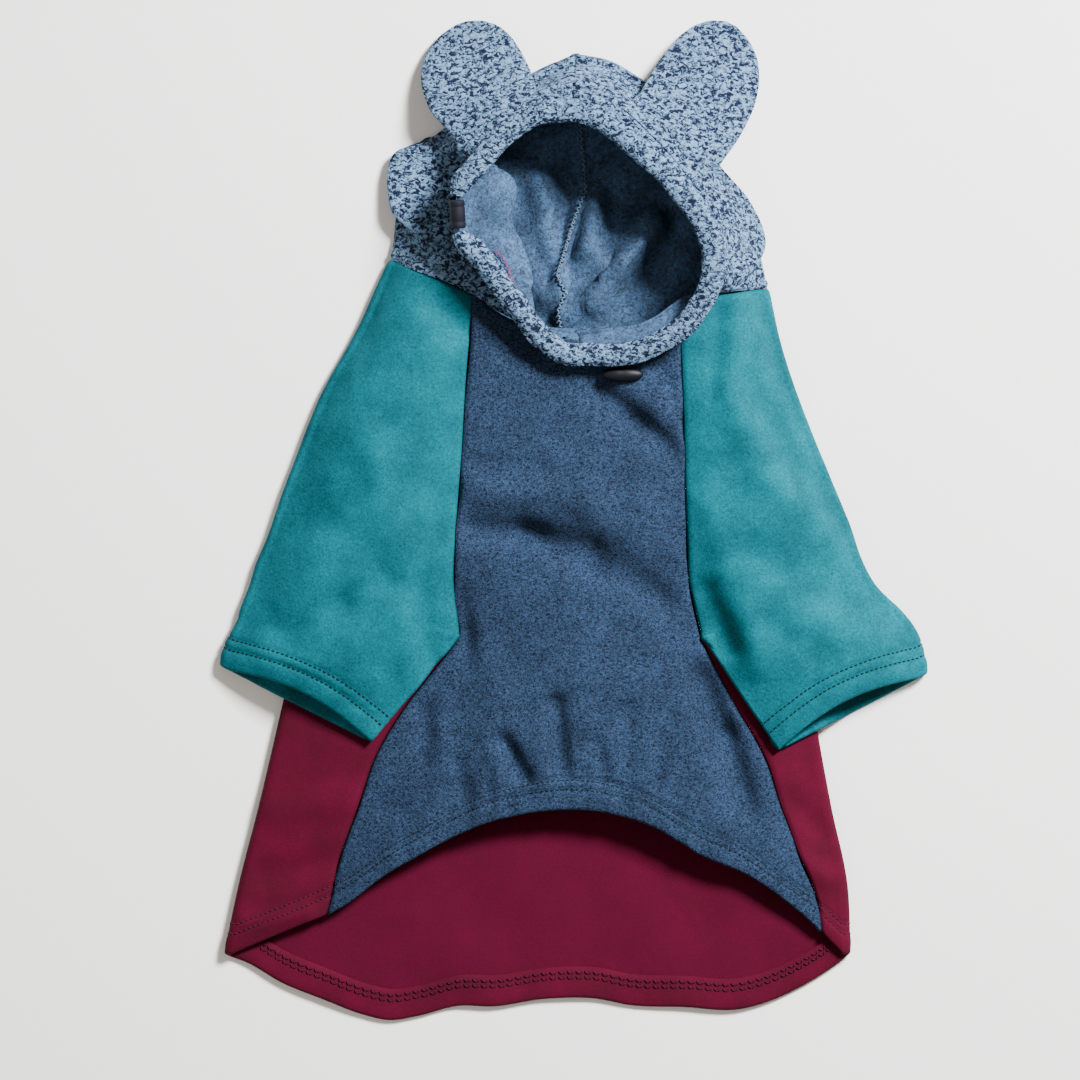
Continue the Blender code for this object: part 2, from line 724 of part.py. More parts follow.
def pull_in(grid, edges, gap=SEAM_GAP / 2):
    """Move a grid's named edges inwards to leave the seam gap."""
    grid = np.array(grid, dtype=float)
    if "first_row" in edges:
        step = grid[1] - grid[0]
        grid[0] += gap * step / np.linalg.norm(step, axis=1, keepdims=True)
    if "last_row" in edges:
        step = grid[-2] - grid[-1]
        grid[-1] += gap * step / np.linalg.norm(step, axis=1, keepdims=True)
    if "first_column" in edges:
        step = grid[:, 1] - grid[:, 0]
        grid[:, 0] += gap * step / np.linalg.norm(step, axis=1, keepdims=True)
    if "last_column" in edges:
        step = grid[:, -2] - grid[:, -1]
        grid[:, -1] += gap * step / np.linalg.norm(step, axis=1, keepdims=True)
    return grid


def belly_hem_y(across):
    """Free edge of the belly at a share of its half width."""
    return -ARMPIT_DROP - SIDE_SEAM + BELLY_SCOOP * table(SCOOP_ROWS, 1, across)


def belly_point(across, along, hem):
    """Point of the belly's outer face; hem is how far above its free edge the panel ends."""
    side = LEFT if across < 0 else RIGHT
    top = raglan_top_y(side)
    start_x = across * seam_half(side, top)
    if along < 0.5:
        start = neckline_y(start_x)
        y = start + (-ARMPIT_DROP - start) * 2 * along
    else:
        end = belly_hem_y(across) + hem
        y = -ARMPIT_DROP + (end + ARMPIT_DROP) * (2 * along - 1)
    share = ease(along * 6)
    x = start_x * (1 - share) + across * seam_half(side, y) * share
    return (x, y, body_top(x, y))


def belly_panel():
    """Belly panel from the neckline to the elastic hem."""
    across = np.sin(np.linspace(-1, 1, 17) * math.pi / 2 * 0.8) / math.sin(math.pi / 2 * 0.8)
    hem = BELLY_HEM_WIDTH + 1.2 * SEAM_GAP
    grid = [[belly_point(s, t, hem) for s in across] for t in np.linspace(0, 1, 23)]
    grid = pull_in(grid, ("first_row", "first_column", "last_column"))
    cloth_panel("belly_panel", [grid], False, "heather")


def belly_hem():
    """Turned hem of the belly with the elastic inside, thicker than the panel."""
    across = np.linspace(-1, 1, 37)
    rows = []
    for share in (0.0, 0.2, 0.5, 0.8, 1.0):
        crown = (BELLY_HEM_THICKNESS - CLOTH) / 2 * math.sin(math.pi * share)
        row = []
        for s in across:
            side = LEFT if s < 0 else RIGHT
            y = belly_hem_y(s) + BELLY_HEM_WIDTH * (1 - share)
            x = s * seam_half(side, y)
            gather = 0.0004 * math.cos(math.pi * 18 * s) * (1 - s * s)
            row.append((x, y, body_top(x, y) + crown + gather))
        rows.append(row)
    rows = pull_in(rows, ("first_column", "last_column"), 1.5 * SEAM_GAP)
    cloth_panel("belly_hem", [rows], False, "heather", BELLY_HEM_THICKNESS)


def tail_hem_y(x):
    """Tail hem on the floor at x."""
    corner = hem_corner(LEFT if x < 0 else RIGHT)
    return corner[1] - TAIL_DROP * table(TAIL_ROWS, 1, x / abs(corner[0]))


def floor_row(left, right, lift, y_of, columns):
    """Points of the floor layer from the left fold to the right one."""
    turns = (0.0, 30.0, 60.0)
    places = []
    for turn in turns:
        inwards = FOLD_RADIUS * (1 - math.cos(math.radians(turn)))
        rise = lift * (1 - math.sin(math.radians(turn)))
        places.append((left[0] + inwards, rise))
    for x in np.linspace(left[0] + FOLD_RADIUS, right[0] - FOLD_RADIUS, columns):
        places.append((x, 0.0))
    for turn in turns[::-1]:
        inwards = FOLD_RADIUS * (1 - math.cos(math.radians(turn)))
        rise = lift * (1 - math.sin(math.radians(turn)))
        places.append((right[0] - inwards, rise))
    return [(x, y_of(x), z) for x, z in places]


def chord_y(left, right, x):
    """Place at x on the straight line between two plan points."""
    return left[1] + (right[1] - left[1]) * (x - left[0]) / (right[0] - left[0])


def back_panel():
    """Back panel: the layer on the floor, its two side folds and the flaps on top."""
    columns = 13
    floor = []
    first = [back_seam(side, 0.0) for side in (LEFT, RIGHT)]
    for along in np.linspace(0, 1, 9):
        ends = [back_seam(side, along) for side in (LEFT, RIGHT)]
        inwards = FOLD_RADIUS / 2 * ease((along - 0.7) / 0.3)
        ends[0][0] += inwards
        ends[1][0] -= inwards

        def upper_y(x, ends=ends, along=along):
            share = (x - ends[0][0]) / (ends[1][0] - ends[0][0])
            at_nape = first[0][0] + (first[1][0] - first[0][0]) * share
            scoop = nape_y(at_nape) - chord_y(first[0], first[1], at_nape)
            return chord_y(ends[0], ends[1], x) + scoop * (1 - along) ** 2

        floor.append(floor_row(ends[0], ends[1], back_seam_lift(along), upper_y, columns))
    starts = [fold_start(side) for side in (LEFT, RIGHT)]
    corners = [hem_corner(side) for side in (LEFT, RIGHT)]
    for along in np.linspace(0, 1, 11)[1:]:
        ends = []
        for side, start, corner in zip((LEFT, RIGHT), starts, corners):
            y = start[1] + (corner[1] - start[1]) * along
            ends.append((side * fold_half(side, y), y))

        def lower_y(x, ends=ends, along=along):
            share = (x - ends[0][0]) / (ends[1][0] - ends[0][0])
            at_hem = corners[0][0] + (corners[1][0] - corners[0][0]) * share
            tail = tail_hem_y(at_hem) - chord_y(corners[0], corners[1], at_hem)
            return chord_y(ends[0], ends[1], x) + tail * along**2

        floor.append(floor_row(ends[0], ends[1], FOLD_RADIUS, lower_y, columns))
    floor = np.array(floor)
    seam_rows = 9
    upper = pull_in(floor[:seam_rows], ("first_row", "first_column", "last_column"))
    upper[-1] = floor[seam_rows - 1]
    grids = [upper, floor[seam_rows - 1:]]
    for side in (LEFT, RIGHT):
        grids.append(flap_grid(side, 11, 7))
    cloth_panel("back_panel", grids, True, "burgundy")


def flap_grid(side, rows, columns):
    """Flap of the back panel, from the fold's outermost line to the side seam."""
    start = fold_start(side)
    corner = hem_corner(side)
    pit_y = -ARMPIT_DROP
    end_y = belly_hem_y(side)
    turns = (0.0, 30.0, 60.0, 90.0)
    grid = []
    for along in np.linspace(0, 1, rows):
        edge_y = start[1] + (corner[1] - start[1]) * along
        seam_y = pit_y + (end_y - pit_y) * along
        row = []
        for turn in turns:
            inwards = FOLD_RADIUS * (1 - math.cos(math.radians(turn)))
            x = side * (fold_half(side, edge_y) - inwards)
            row.append((x, edge_y, FOLD_RADIUS * (1 + math.sin(math.radians(turn)))))
        for k in range(1, columns):
            share = k / (columns - 1)
            y = edge_y + (seam_y - edge_y) * share
            outer = fold_half(side, edge_y) - FOLD_RADIUS
            inner = seam_half(side, seam_y)
            x = side * (outer + (inner - outer) * share)
            row.append((x, y, flap_top(side, x, y)))
        grid.append(row)
    grid = np.array(grid)
    grid[0, 3:] = pull_in(grid[:, 3:], ("first_row",))[0]
    grid = pull_in(grid, ("last_column",))
    if side == RIGHT:
        return grid
    return grid[:, ::-1]


def sleeve(side, name):
    """Raglan sleeve: open above the armpit, a closed tube below it."""
    upper = []
    for along in np.linspace(0, 1, 9):
        upper.append(sleeve_section(side, along, SLEEVE_COLUMNS, False))
    upper = np.array(upper)
    lower = []
    for along in np.linspace(1, 2, 7):
        lower.append(sleeve_section(side, along, SLEEVE_COLUMNS, True))
    lower = np.array(lower)
    shared = len(upper[0])
    upper[-1] = lower[0, :shared]
    upper = pull_in(upper, ("first_row", "first_column", "last_column"))
    lower[0, :shared] = upper[-1]
    lower[0, -1] = lower[0, 0]
    grids = [upper, lower]
    cloth_panel(name, grids, side == LEFT, "teal")


def hood_half(side, name):
    """One half of the hood, from the back centre seam round to the chin."""
    stations = (0, 0.5, 1, 1.5, 2, 2.5, 3, 3.4, 3.7, 4, 4.25, 4.5, 4.75, 5, 5.25, 5.5, 5.75, 6,
                6.5, 7, 7.5, 8, 8.5, 9, 9.5, 10)
    levels = (0, 0.7, 1.4, 2, 2.5, 3, 3.5, 4, 4.5, 5, 5.33, 5.67, 6)
    grid = [[hood_point(side, station, level) for level in levels] for station in stations]
    grid = pull_in(grid, ("first_row", "last_row", "first_column"), SEAM_GAP)
    cloth_panel(name, [grid], side == RIGHT, "speckle")


def rim_frame(side, share):
    """Middle of the rim and its way outwards at a share of its half loop."""
    near, far = max(share - 0.004, 0.0), min(share + 0.004, 1.0)
    ahead = rim_point(side, far) - rim_point(side, near)
    out = np.cross(ahead, (0.0, 0.0, 1.0)) * (-side)
    return rim_point(side, share), out / np.linalg.norm(out)


def rim_gap():
    """Shares of the left half loop between which the rim is open for the barrel stop."""
    half_gap = BARREL_LENGTH / 2 + 5 * LAY_GAP
    shares = np.linspace(0, 1, 400)
    path = np.array([rim_point(LEFT, share) for share in shares])
    lengths = np.concatenate(([0.0], np.cumsum(np.linalg.norm(np.diff(path, axis=0), axis=1))))
    middle = np.interp(BARREL_ALONG, shares, lengths)
    first = float(np.interp(middle - half_gap, lengths, shares))
    last = float(np.interp(middle + half_gap, lengths, shares))
    return first, last


def hood_rim():
    """Rolled casing of the mouth, open where the barrel stop sits on the cord."""
    first, last = rim_gap()
    stops = [(LEFT, share) for share in np.linspace(last, 1, 17)]
    stops += [(RIGHT, share) for share in np.linspace(1, 0, 31)[1:]]
    stops += [(LEFT, share) for share in np.linspace(0, first, 13)[1:]]
    work = bmesh.new()
    rings = []
    for side, share in stops:
        centre, out = rim_frame(side, share)
        ring = []
        for k in range(RIM_SIDES):
            angle = 2 * math.pi * k / RIM_SIDES
            wide = RIM_WIDTH / 2 * math.cos(angle)
            high = RIM_THICKNESS / 2 * math.sin(angle)
            ring.append(work.verts.new(centre + out * wide + np.array((0, 0, high))))
        rings.append(ring)
    for near, far in zip(rings, rings[1:]):
        for k in range(RIM_SIDES):
            after = (k + 1) % RIM_SIDES
            work.faces.new((near[k], near[after], far[after], far[k]))
    work.faces.new(rings[0])
    work.faces.new(rings[-1][::-1])
    bmesh.ops.recalc_face_normals(work, faces=work.faces)
    mesh = bpy.data.meshes.new("hood_rim")
    work.to_mesh(mesh)
    work.free()
    mesh.shade_smooth()
    new_object("hood_rim", mesh, "speckle")


def ear(side, name):
    """Flat rounded ear that leaves the hood's seam and slopes down to the floor."""
    shape = EARS[side]
    first, last = shape["stations"]
    across = np.linspace(-1, 1, 9)
    axis = math.radians(shape["axis"])
    ahead = np.array((-math.sin(axis), math.cos(axis)))
    outwards = np.array((side * ahead[1], -side * ahead[0]))
    base = []
    for c in across:
        station = first + (last - first) * (c + 1) / 2
        point = hood_point(side, station, EAR_BASE_LEVEL)
        step = hood_point(side, station, EAR_BASE_LEVEL + 0.1) - point
        beside = hood_point(side, station + 0.1, EAR_BASE_LEVEL) - point
        normal = np.cross(step, beside) * side
        normal /= np.linalg.norm(normal)
        base.append(point + normal * (EAR_THICKNESS + LAY_GAP) / 2)
    base = np.array(base)
    middle = base.mean(axis=0)
    length = EAR_LENGTH * shape["length"]
    rest = EAR_THICKNESS / 2 + LAY_GAP
    grid = []
    for along in (0.0, 0.12, 0.26, 0.42, 0.58, 0.72, 0.84, 0.93, 0.98, 1.0):
        spread = ease(along / 0.3)
        height = rest + (middle[2] - rest) * (table(EAR_ROWS, 3, along) - 0.08) / 0.92
        row = []
        for number, c in enumerate(across):
            half = table(EAR_ROWS, 1 if c > 0 else 2, along) * EAR_WIDTH
            plan = middle[:2] + ahead * length * along + outwards * c * half
            here = base[number, :2] + ahead * length * along
            plan = here * (1 - spread) + plan * spread
            level = (base[number, 2] - middle[2]) * (1 - spread) + height
            row.append((plan[0], plan[1], level))
        grid.append(row)
    piece = new_object(name, surface_mesh(name, [grid], side == LEFT), "speckle")
    wall = piece.modifiers.new("wall", "SOLIDIFY")
    wall.thickness = EAR_THICKNESS
    wall.offset = 0.0
    wall.use_quality_normals = True


def barrel_stop():
    """Plain barrel stop that sits on the cord in the gap of the rim."""
    first, last = rim_gap()
    centre = (rim_point(LEFT, first) + rim_point(LEFT, last)) / 2
    ahead = rim_point(LEFT, last) - rim_point(LEFT, first)
    work = bmesh.new()
    bmesh.ops.create_cone(
        work, cap_ends=True, segments=16, radius1=BARREL_WIDTH / 2, radius2=BARREL_WIDTH / 2,
        depth=BARREL_LENGTH,
    )
    centre[2] += (BARREL_WIDTH - RIM_THICKNESS) / 2
    turn = Vector(ahead).to_track_quat("Z", "Y").to_matrix().to_4x4()
    bmesh.ops.transform(work, verts=work.verts, matrix=Matrix.Translation(Vector(centre)) @ turn)
    mesh = bpy.data.meshes.new("cord_stop_side")
    work.to_mesh(mesh)
    work.free()
    new_object("cord_stop_side", mesh, "black")


def chin_stop():
    """Oval stop that lies on the belly against the chin of the rim."""
    chin = rim_point(RIGHT, 0.92)
    x = chin[0]
    y = chin[1] - RIM_WIDTH / 2 - LAY_GAP - TOGGLE_WIDTH / 2
    z = body_top(x, y) + (LAY_GAP + TOGGLE_THICKNESS) / 2
    work = bmesh.new()
    bmesh.ops.create_uvsphere(work, u_segments=16, v_segments=8, radius=0.5)
    size = (TOGGLE_LENGTH, TOGGLE_WIDTH, TOGGLE_THICKNESS)
    bmesh.ops.scale(work, vec=size, verts=work.verts)
    bmesh.ops.translate(work, vec=(x, y, z), verts=work.verts)
    mesh = bpy.data.meshes.new("cord_stop_chin")
    work.to_mesh(mesh)
    work.free()
    mesh.shade_smooth()
    new_object("cord_stop_chin", mesh, "black")


def stand_on_origin():
    """Move everything so that the box's bottom centre is the origin."""
    bpy.context.view_layer.update()
    graph = bpy.context.evaluated_depsgraph_get()
    low = np.full(3, 1e9)
    high = np.full(3, -1e9)
    pieces = list(bpy.data.collections["hoodie"].objects)
    for piece in pieces:
        shaped = piece.evaluated_get(graph)
        mesh = shaped.to_mesh()
        points = np.array([vertex.co for vertex in mesh.vertices])
        low = np.minimum(low, points.min(axis=0))
        high = np.maximum(high, points.max(axis=0))
        shaped.to_mesh_clear()
    shift = Vector((-(low[0] + high[0]) / 2, -(low[1] + high[1]) / 2, -low[2]))
    for piece in pieces:
        piece.data.transform(Matrix.Translation(shift))


def main():
    for item in list(bpy.data.objects):
        bpy.data.objects.remove(item)
    garment = bpy.data.collections.new("hoodie")
    bpy.context.scene.collection.children.link(garment)
    belly_panel()
    belly_hem()
    back_panel()
    sleeve(LEFT, "sleeve_left")
    sleeve(RIGHT, "sleeve_right")
    hood_half(LEFT, "hood_left")
    hood_half(RIGHT, "hood_right")
    hood_rim()
    ear(LEFT, "ear_left")
    ear(RIGHT, "ear_right")
    barrel_stop()
    chin_stop()
    stand_on_origin()


main()
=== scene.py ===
"""Looks of the small dog's hoodie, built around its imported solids.

The shape functions and tables are the part's own, sampled more finely, so that each panel lies
where its solid lies.  Metres, +Z up, hood towards +Y; in the plan functions y is 0 at the nape.
"""

import bisect
import functools
import math

import bmesh
import bpy
import numpy as np
from mathutils import Matrix, Vector, noise


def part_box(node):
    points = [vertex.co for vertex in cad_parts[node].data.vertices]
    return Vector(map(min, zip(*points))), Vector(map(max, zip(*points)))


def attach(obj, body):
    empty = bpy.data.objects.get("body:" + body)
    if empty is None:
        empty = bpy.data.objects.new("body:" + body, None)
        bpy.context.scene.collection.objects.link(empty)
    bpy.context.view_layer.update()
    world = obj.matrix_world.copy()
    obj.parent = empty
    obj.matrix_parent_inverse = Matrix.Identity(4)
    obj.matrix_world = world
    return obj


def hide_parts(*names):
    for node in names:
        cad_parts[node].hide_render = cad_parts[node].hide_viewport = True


# Cloth and clearances
CLOTH = 0.0016
SEAM_GAP = 0.0008
LAY_GAP = 0.0005
FOLD_RADIUS = 0.0045

# Body
ARMPIT_DROP = 0.219
SIDE_SEAM = 0.1656
BELLY_WIDTH = 0.1416
BELLY_FLARE = 0.0762
FLAP_WIDTH = 0.0618
CORNER_DROP = 0.0234
TAIL_DROP = 0.0396
BELLY_SCOOP = 0.0624
NECK_SCOOP = 0.0372
NAPE_SCOOP = 0.050
BODY_HEIGHT = 0.027
BELLY_HEM_WIDTH = 0.012
BELLY_HEM_THICKNESS = 0.0042

# Sleeves
SLEEVE_NECK = 0.054
SLEEVE_WIDTH = 0.1296
CUFF_WIDTH = 0.102
CUFF_BOW = 0.008
UNDERARM = 0.0816
SLEEVE_HEIGHT = 0.031

# Hood
HOOD_WIDTH = 0.2256
HOOD_DEPTH = 0.1278
HOOD_HEIGHT = 0.055
MOUTH_WIDTH = 0.1536
MOUTH_LENGTH = 0.1452
MOUTH_CENTRE = (0.0054, 0.0216)
RIM_WIDTH = 0.0138
RIM_THICKNESS = 0.0066
EAR_LENGTH = 0.070
EAR_WIDTH = 0.0635
EAR_THICKNESS = 0.0046

# Cord stops
BARREL_LENGTH = 0.017
BARREL_WIDTH = 0.0092
TOGGLE_LENGTH = 0.025
TOGGLE_WIDTH = 0.0092
TOGGLE_THICKNESS = 0.0074

LEFT = -1
RIGHT = 1
SLEEVE_COLUMNS = 9
RIM_SIDES = 8

# Half width of the belly between the raglan seams, in shares of half BELLY_WIDTH;
# along is the share of ARMPIT_DROP
RAGLAN_ROWS = (
    # along, left, right
    (0.00, 0.860, 0.895),
    (0.20, 0.895, 0.898),
    (0.34, 0.924, 0.912),
    (0.48, 0.949, 0.924),
    (0.62, 0.980, 0.932),
    (0.75, 1.008, 0.949),
    (0.86, 1.015, 0.965),
    (1.00, 0.960, 1.060),
)

# What the side seams add to it below the armpits, in shares of BELLY_FLARE;
# along is the share of SIDE_SEAM
SIDE_ROWS = (
    # along, left, right
    (0.00, 0.000, 0.000),
    (0.26, 0.449, 0.290),
    (0.44, 0.677, 0.512),
    (0.61, 0.803, 0.635),
    (0.78, 0.937, 0.775),
    (1.00, 1.050, 0.945),
    (1.10, 1.090, 0.960),
)

# Body fold from the armpit to the hem corner, in shares of its way outwards
FOLD_ROWS = (
    # along, left, right
    (0.00, 0.00, 0.00),
    (0.30, 0.30, 0.31),
    (0.58, 0.58, 0.64),
    (0.80, 0.82, 0.94),
    (1.00, 1.00, 1.00),
)

# Where the back raglan seam reaches the fold, as a share of the sleeve's width from the armpit
FOLD_START = {LEFT: 0.75, RIGHT: 0.58}
# How much of FLAP_WIDTH shows on each side at the hem
FLAP_SHARE = {LEFT: 1.0, RIGHT: 0.30}
# Where the back raglan seam starts, as a share of half the neck
BACK_NECK_SHARE = 0.70

# Heights of the body's upper layer, in shares of BODY_HEIGHT; along is 1 at the armpit
# and 2 at the end of the side seam
HEIGHT_ROWS = (
    # along, seam, middle
    (0.00, 0.88, 0.98),
    (0.30, 0.93, 1.00),
    (0.60, 0.92, 1.00),
    (0.85, 0.78, 0.97),
    (1.00, 0.58, 0.94),
    (1.30, 0.50, 0.90),
    (1.60, 0.46, 0.84),
    (2.00, 0.40, 0.70),
)

# Front neckline from the left fold to the right one: place in shares of half the neck,
# drop in shares of NECK_SCOOP
NECK_ROWS = (
    # across, drop
    (-1.00, -0.16),
    (-0.84, -0.08),
    (-0.63, 0.18),
    (-0.54, 0.38),
    (-0.40, 0.69),
    (-0.16, 0.95),
    (0.13, 1.00),
    (0.40, 0.85),
    (0.56, 0.50),
    (0.75, 0.26),
    (0.86, 0.19),
    (1.00, 0.23),
)

# Scooped belly hem between the side seams: rise above their ends in shares of BELLY_SCOOP
SCOOP_ROWS = (
    # across, rise
    (-1.00, 0.00),
    (-0.92, 0.12),
    (-0.81, 0.35),
    (-0.66, 0.58),
    (-0.49, 0.80),
    (-0.14, 1.00),
    (0.10, 1.00),
    (0.40, 0.81),
    (0.56, 0.58),
    (0.77, 0.34),
    (0.88, 0.11),
    (1.00, -0.16),
)

# Tail hem between the hem corners: drop below them in shares of TAIL_DROP
TAIL_ROWS = (
    # across, drop
    (-1.00, 0.00),
    (-0.93, 0.14),
    (-0.84, 0.42),
    (-0.72, 0.68),
    (-0.60, 0.92),
    (-0.53, 1.00),
    (-0.45, 0.94),
    (-0.33, 0.78),
    (-0.23, 0.79),
    (-0.09, 0.68),
    (0.07, 0.67),
    (0.20, 0.77),
    (0.39, 0.80),
    (0.60, 0.83),
    (0.70, 0.72),
    (0.85, 0.42),
    (0.96, 0.12),
    (1.00, 0.00),
)

# Flat width of each sleeve in shares of SLEEVE_NECK, SLEEVE_WIDTH and CUFF_WIDTH, and how far
# the line across it lifts outwards; along is 1 at the armpit and 2 at the cuff
SLEEVE_ROWS = {
    LEFT: (
        # along, neck, arm, cuff, lift in degrees
        (0.00, 1.00, 0.00, 0.00, 22.9),
        (0.15, 0.84, 0.16, 0.00, 12.5),
        (0.37, 0.56, 0.44, 0.00, 9.5),
        (0.58, 0.37, 0.63, 0.00, 7.8),
        (0.79, 0.21, 0.79, 0.00, 8.2),
        (1.00, 0.00, 1.00, 0.00, 10.7),
        (1.33, 0.00, 0.67, 0.33, 14.5),
        (1.67, 0.00, 0.33, 0.68, 19.8),
        (2.00, 0.00, 0.00, 1.00, 26.6),
    ),
    RIGHT: (
        # along, neck, arm, cuff, lift in degrees
        (0.00, 1.00, 0.00, 0.00, 9.0),
        (0.15, 0.90, 0.09, 0.00, 6.5),
        (0.37, 0.74, 0.25, 0.00, 8.5),
        (0.58, 0.52, 0.46, 0.00, 8.9),
        (0.79, 0.30, 0.66, 0.00, 9.6),
        (1.00, 0.10, 0.80, 0.00, 14.3),
        (1.33, 0.00, 0.60, 0.34, 19.0),
        (1.67, 0.00, 0.30, 0.70, 23.8),
        (2.00, 0.00, 0.00, 0.99, 27.0),
    ),
}
UNDERARM_ANGLE = {LEFT: 40.2, RIGHT: 34.6}

# Height of the sleeve's upper layer along its middle, in shares of SLEEVE_HEIGHT
SLEEVE_HEIGHT_ROWS = (
    # along, height
    (0.00, 0.76),
    (0.20, 0.94),
    (0.60, 1.00),
    (1.00, 1.00),
    (1.50, 0.92),
    (2.00, 0.72),
)

# Folds and dents of the upper layers: ends in shares of half BELLY_WIDTH and of ARMPIT_DROP
# (x right, y down), half width and height in shares of BODY_HEIGHT
FOLDS = (
    # from x, from y, to x, to y, half width, height
    (0.21, 0.33, 0.86, 0.49, 0.26, -0.14),
    (-0.85, 0.51, 0.46, 0.55, 0.20, 0.05),
    (-0.92, 0.70, 0.15, 0.76, 0.30, -0.11),
    (0.15, 0.76, 0.80, 0.90, 0.34, -0.12),
    (-0.90, 0.60, 0.55, 0.63, 0.24, 0.07),
    (-0.98, 0.90, -0.90, 1.05, 0.24, -0.14),
    (1.12, 1.12, 1.40, 1.42, 0.44, -0.22),
    (-1.30, 1.20, -1.28, 1.34, 0.22, -0.10),
    (-0.58, 1.29, -0.44, 1.38, 0.22, -0.12),
    (-0.15, 1.18, -0.12, 1.35, 0.24, -0.10),
    (0.45, 1.20, 0.50, 1.36, 0.24, -0.08),
)

# Hood stations from the back centre seam round each side to the chin.  neck and rim are shares
# of the half loops, edge and crease are in shares of half HOOD_WIDTH, HOOD_DEPTH and HOOD_HEIGHT,
# roll is the share of FOLD_RADIUS at the edge, lap says how far the wall comes from inside the rim
HOOD_ROWS = {
    LEFT: (
        # neck, edge x, edge y, edge z, roll, crease x, crease y, crease z, lap, rim
        (0.000, 0.005, 1.000, 0.082, 1.0, -0.010, 0.850, 0.66, 0.0, 0.000),
        (0.130, -0.223, 0.915, 0.082, 1.0, -0.195, 0.790, 0.66, 0.0, 0.095),
        (0.255, -0.500, 0.800, 0.082, 1.0, -0.425, 0.695, 0.62, 0.0, 0.190),
        (0.370, -0.755, 0.625, 0.082, 1.0, -0.600, 0.555, 0.54, 0.2, 0.285),
        (0.454, -0.955, 0.530, 0.082, 1.0, -0.340, 0.425, 0.30, 1.0, 0.375),
        (0.506, -0.950, 0.275, 0.165, 1.0, -0.345, 0.235, 0.30, 1.0, 0.450),
        (0.550, -0.800, 0.130, 0.300, 0.3, -0.290, 0.120, 0.33, 1.0, 0.530),
        (0.650, -0.530, 0.000, 0.450, 0.0, -0.235, -0.045, 0.507, 1.0, 0.630),
        (0.730, -0.295, -0.116, 0.486, 0.0, -0.242, -0.105, 0.585, 1.0, 0.740),
        (0.858, -0.147, -0.287, 0.583, 0.0, -0.173, -0.289, 0.607, 1.0, 0.870),
        (1.000, 0.020, -0.325, 0.585, 0.0, 0.030, -0.355, 0.548, 1.0, 1.000),
    ),
    RIGHT: (
        # neck, edge x, edge y, edge z, roll, crease x, crease y, crease z, lap, rim
        (0.000, 0.005, 1.000, 0.082, 1.0, -0.010, 0.850, 0.66, 0.0, 0.000),
        (0.130, 0.250, 0.945, 0.082, 1.0, 0.197, 0.770, 0.69, 0.0, 0.100),
        (0.260, 0.560, 0.740, 0.082, 1.0, 0.425, 0.590, 0.69, 0.0, 0.215),
        (0.375, 0.785, 0.485, 0.086, 1.0, 0.615, 0.400, 0.65, 0.0, 0.330),
        (0.455, 0.945, 0.315, 0.090, 1.0, 0.765, 0.240, 0.56, 0.0, 0.430),
        (0.492, 1.018, 0.120, 0.165, 1.0, 0.850, 0.090, 0.50, 0.0, 0.520),
        (0.545, 0.930, -0.020, 0.400, 0.3, 0.815, -0.025, 0.56, 0.2, 0.595),
        (0.650, 0.785, -0.095, 0.500, 0.0, 0.700, -0.145, 0.59, 0.6, 0.690),
        (0.770, 0.590, -0.190, 0.530, 0.0, 0.545, -0.250, 0.59, 1.0, 0.790),
        (0.885, 0.350, -0.285, 0.540, 0.0, 0.330, -0.330, 0.57, 1.0, 0.890),
        (1.000, 0.020, -0.325, 0.525, 0.0, 0.030, -0.355, 0.54, 1.0, 1.000),
    ),
}

# Middle of the rolled rim round the mouth from the forehead to the chin: shares of half
# MOUTH_WIDTH, half MOUTH_LENGTH and HOOD_HEIGHT
RIM_ROWS = {
    LEFT: (
        # along, x, y, z
        (0.00, -0.086, 1.000, 0.95),
        (0.09, -0.375, 0.959, 0.95),
        (0.18, -0.609, 0.802, 0.93),
        (0.27, -0.797, 0.587, 0.91),
        (0.35, -0.955, 0.388, 0.88),
        (0.42, -1.000, 0.190, 0.86),
        (0.50, -0.955, -0.030, 0.84),
        (0.57, -0.805, -0.190, 0.82),
        (0.66, -0.656, -0.405, 0.79),
        (0.75, -0.500, -0.628, 0.75),
        (0.85, -0.320, -0.868, 0.70),
        (0.92, -0.148, -0.983, 0.67),
        (1.00, 0.031, -1.000, 0.65),
    ),
    RIGHT: (
        # along, x, y, z
        (0.00, -0.086, 1.000, 0.95),
        (0.08, 0.125, 0.926, 0.98),
        (0.19, 0.406, 0.702, 1.00),
        (0.30, 0.672, 0.438, 1.00),
        (0.41, 0.883, 0.149, 0.98),
        (0.49, 0.984, -0.091, 0.95),
        (0.55, 1.000, -0.256, 0.91),
        (0.63, 0.953, -0.496, 0.86),
        (0.72, 0.812, -0.727, 0.79),
        (0.81, 0.609, -0.884, 0.73),
        (0.90, 0.367, -0.985, 0.68),
        (0.95, 0.200, -1.005, 0.66),
        (1.00, 0.031, -1.000, 0.65),
    ),
}
BARREL_ALONG = 0.435

# Puffed folds of the hood's lower layer inside: ends in shares of half HOOD_WIDTH and HOOD_DEPTH,
# half width and height in shares of HOOD_HEIGHT
HOOD_FOLDS = (
    # from x, from y, to x, to y, half width, height
    (-0.03, -0.13, 0.16, 0.02, 0.13, 0.13),
    (0.16, 0.02, 0.40, 0.22, 0.15, 0.17),
    (0.03, 0.30, 0.11, 0.08, 0.10, 0.09),
)

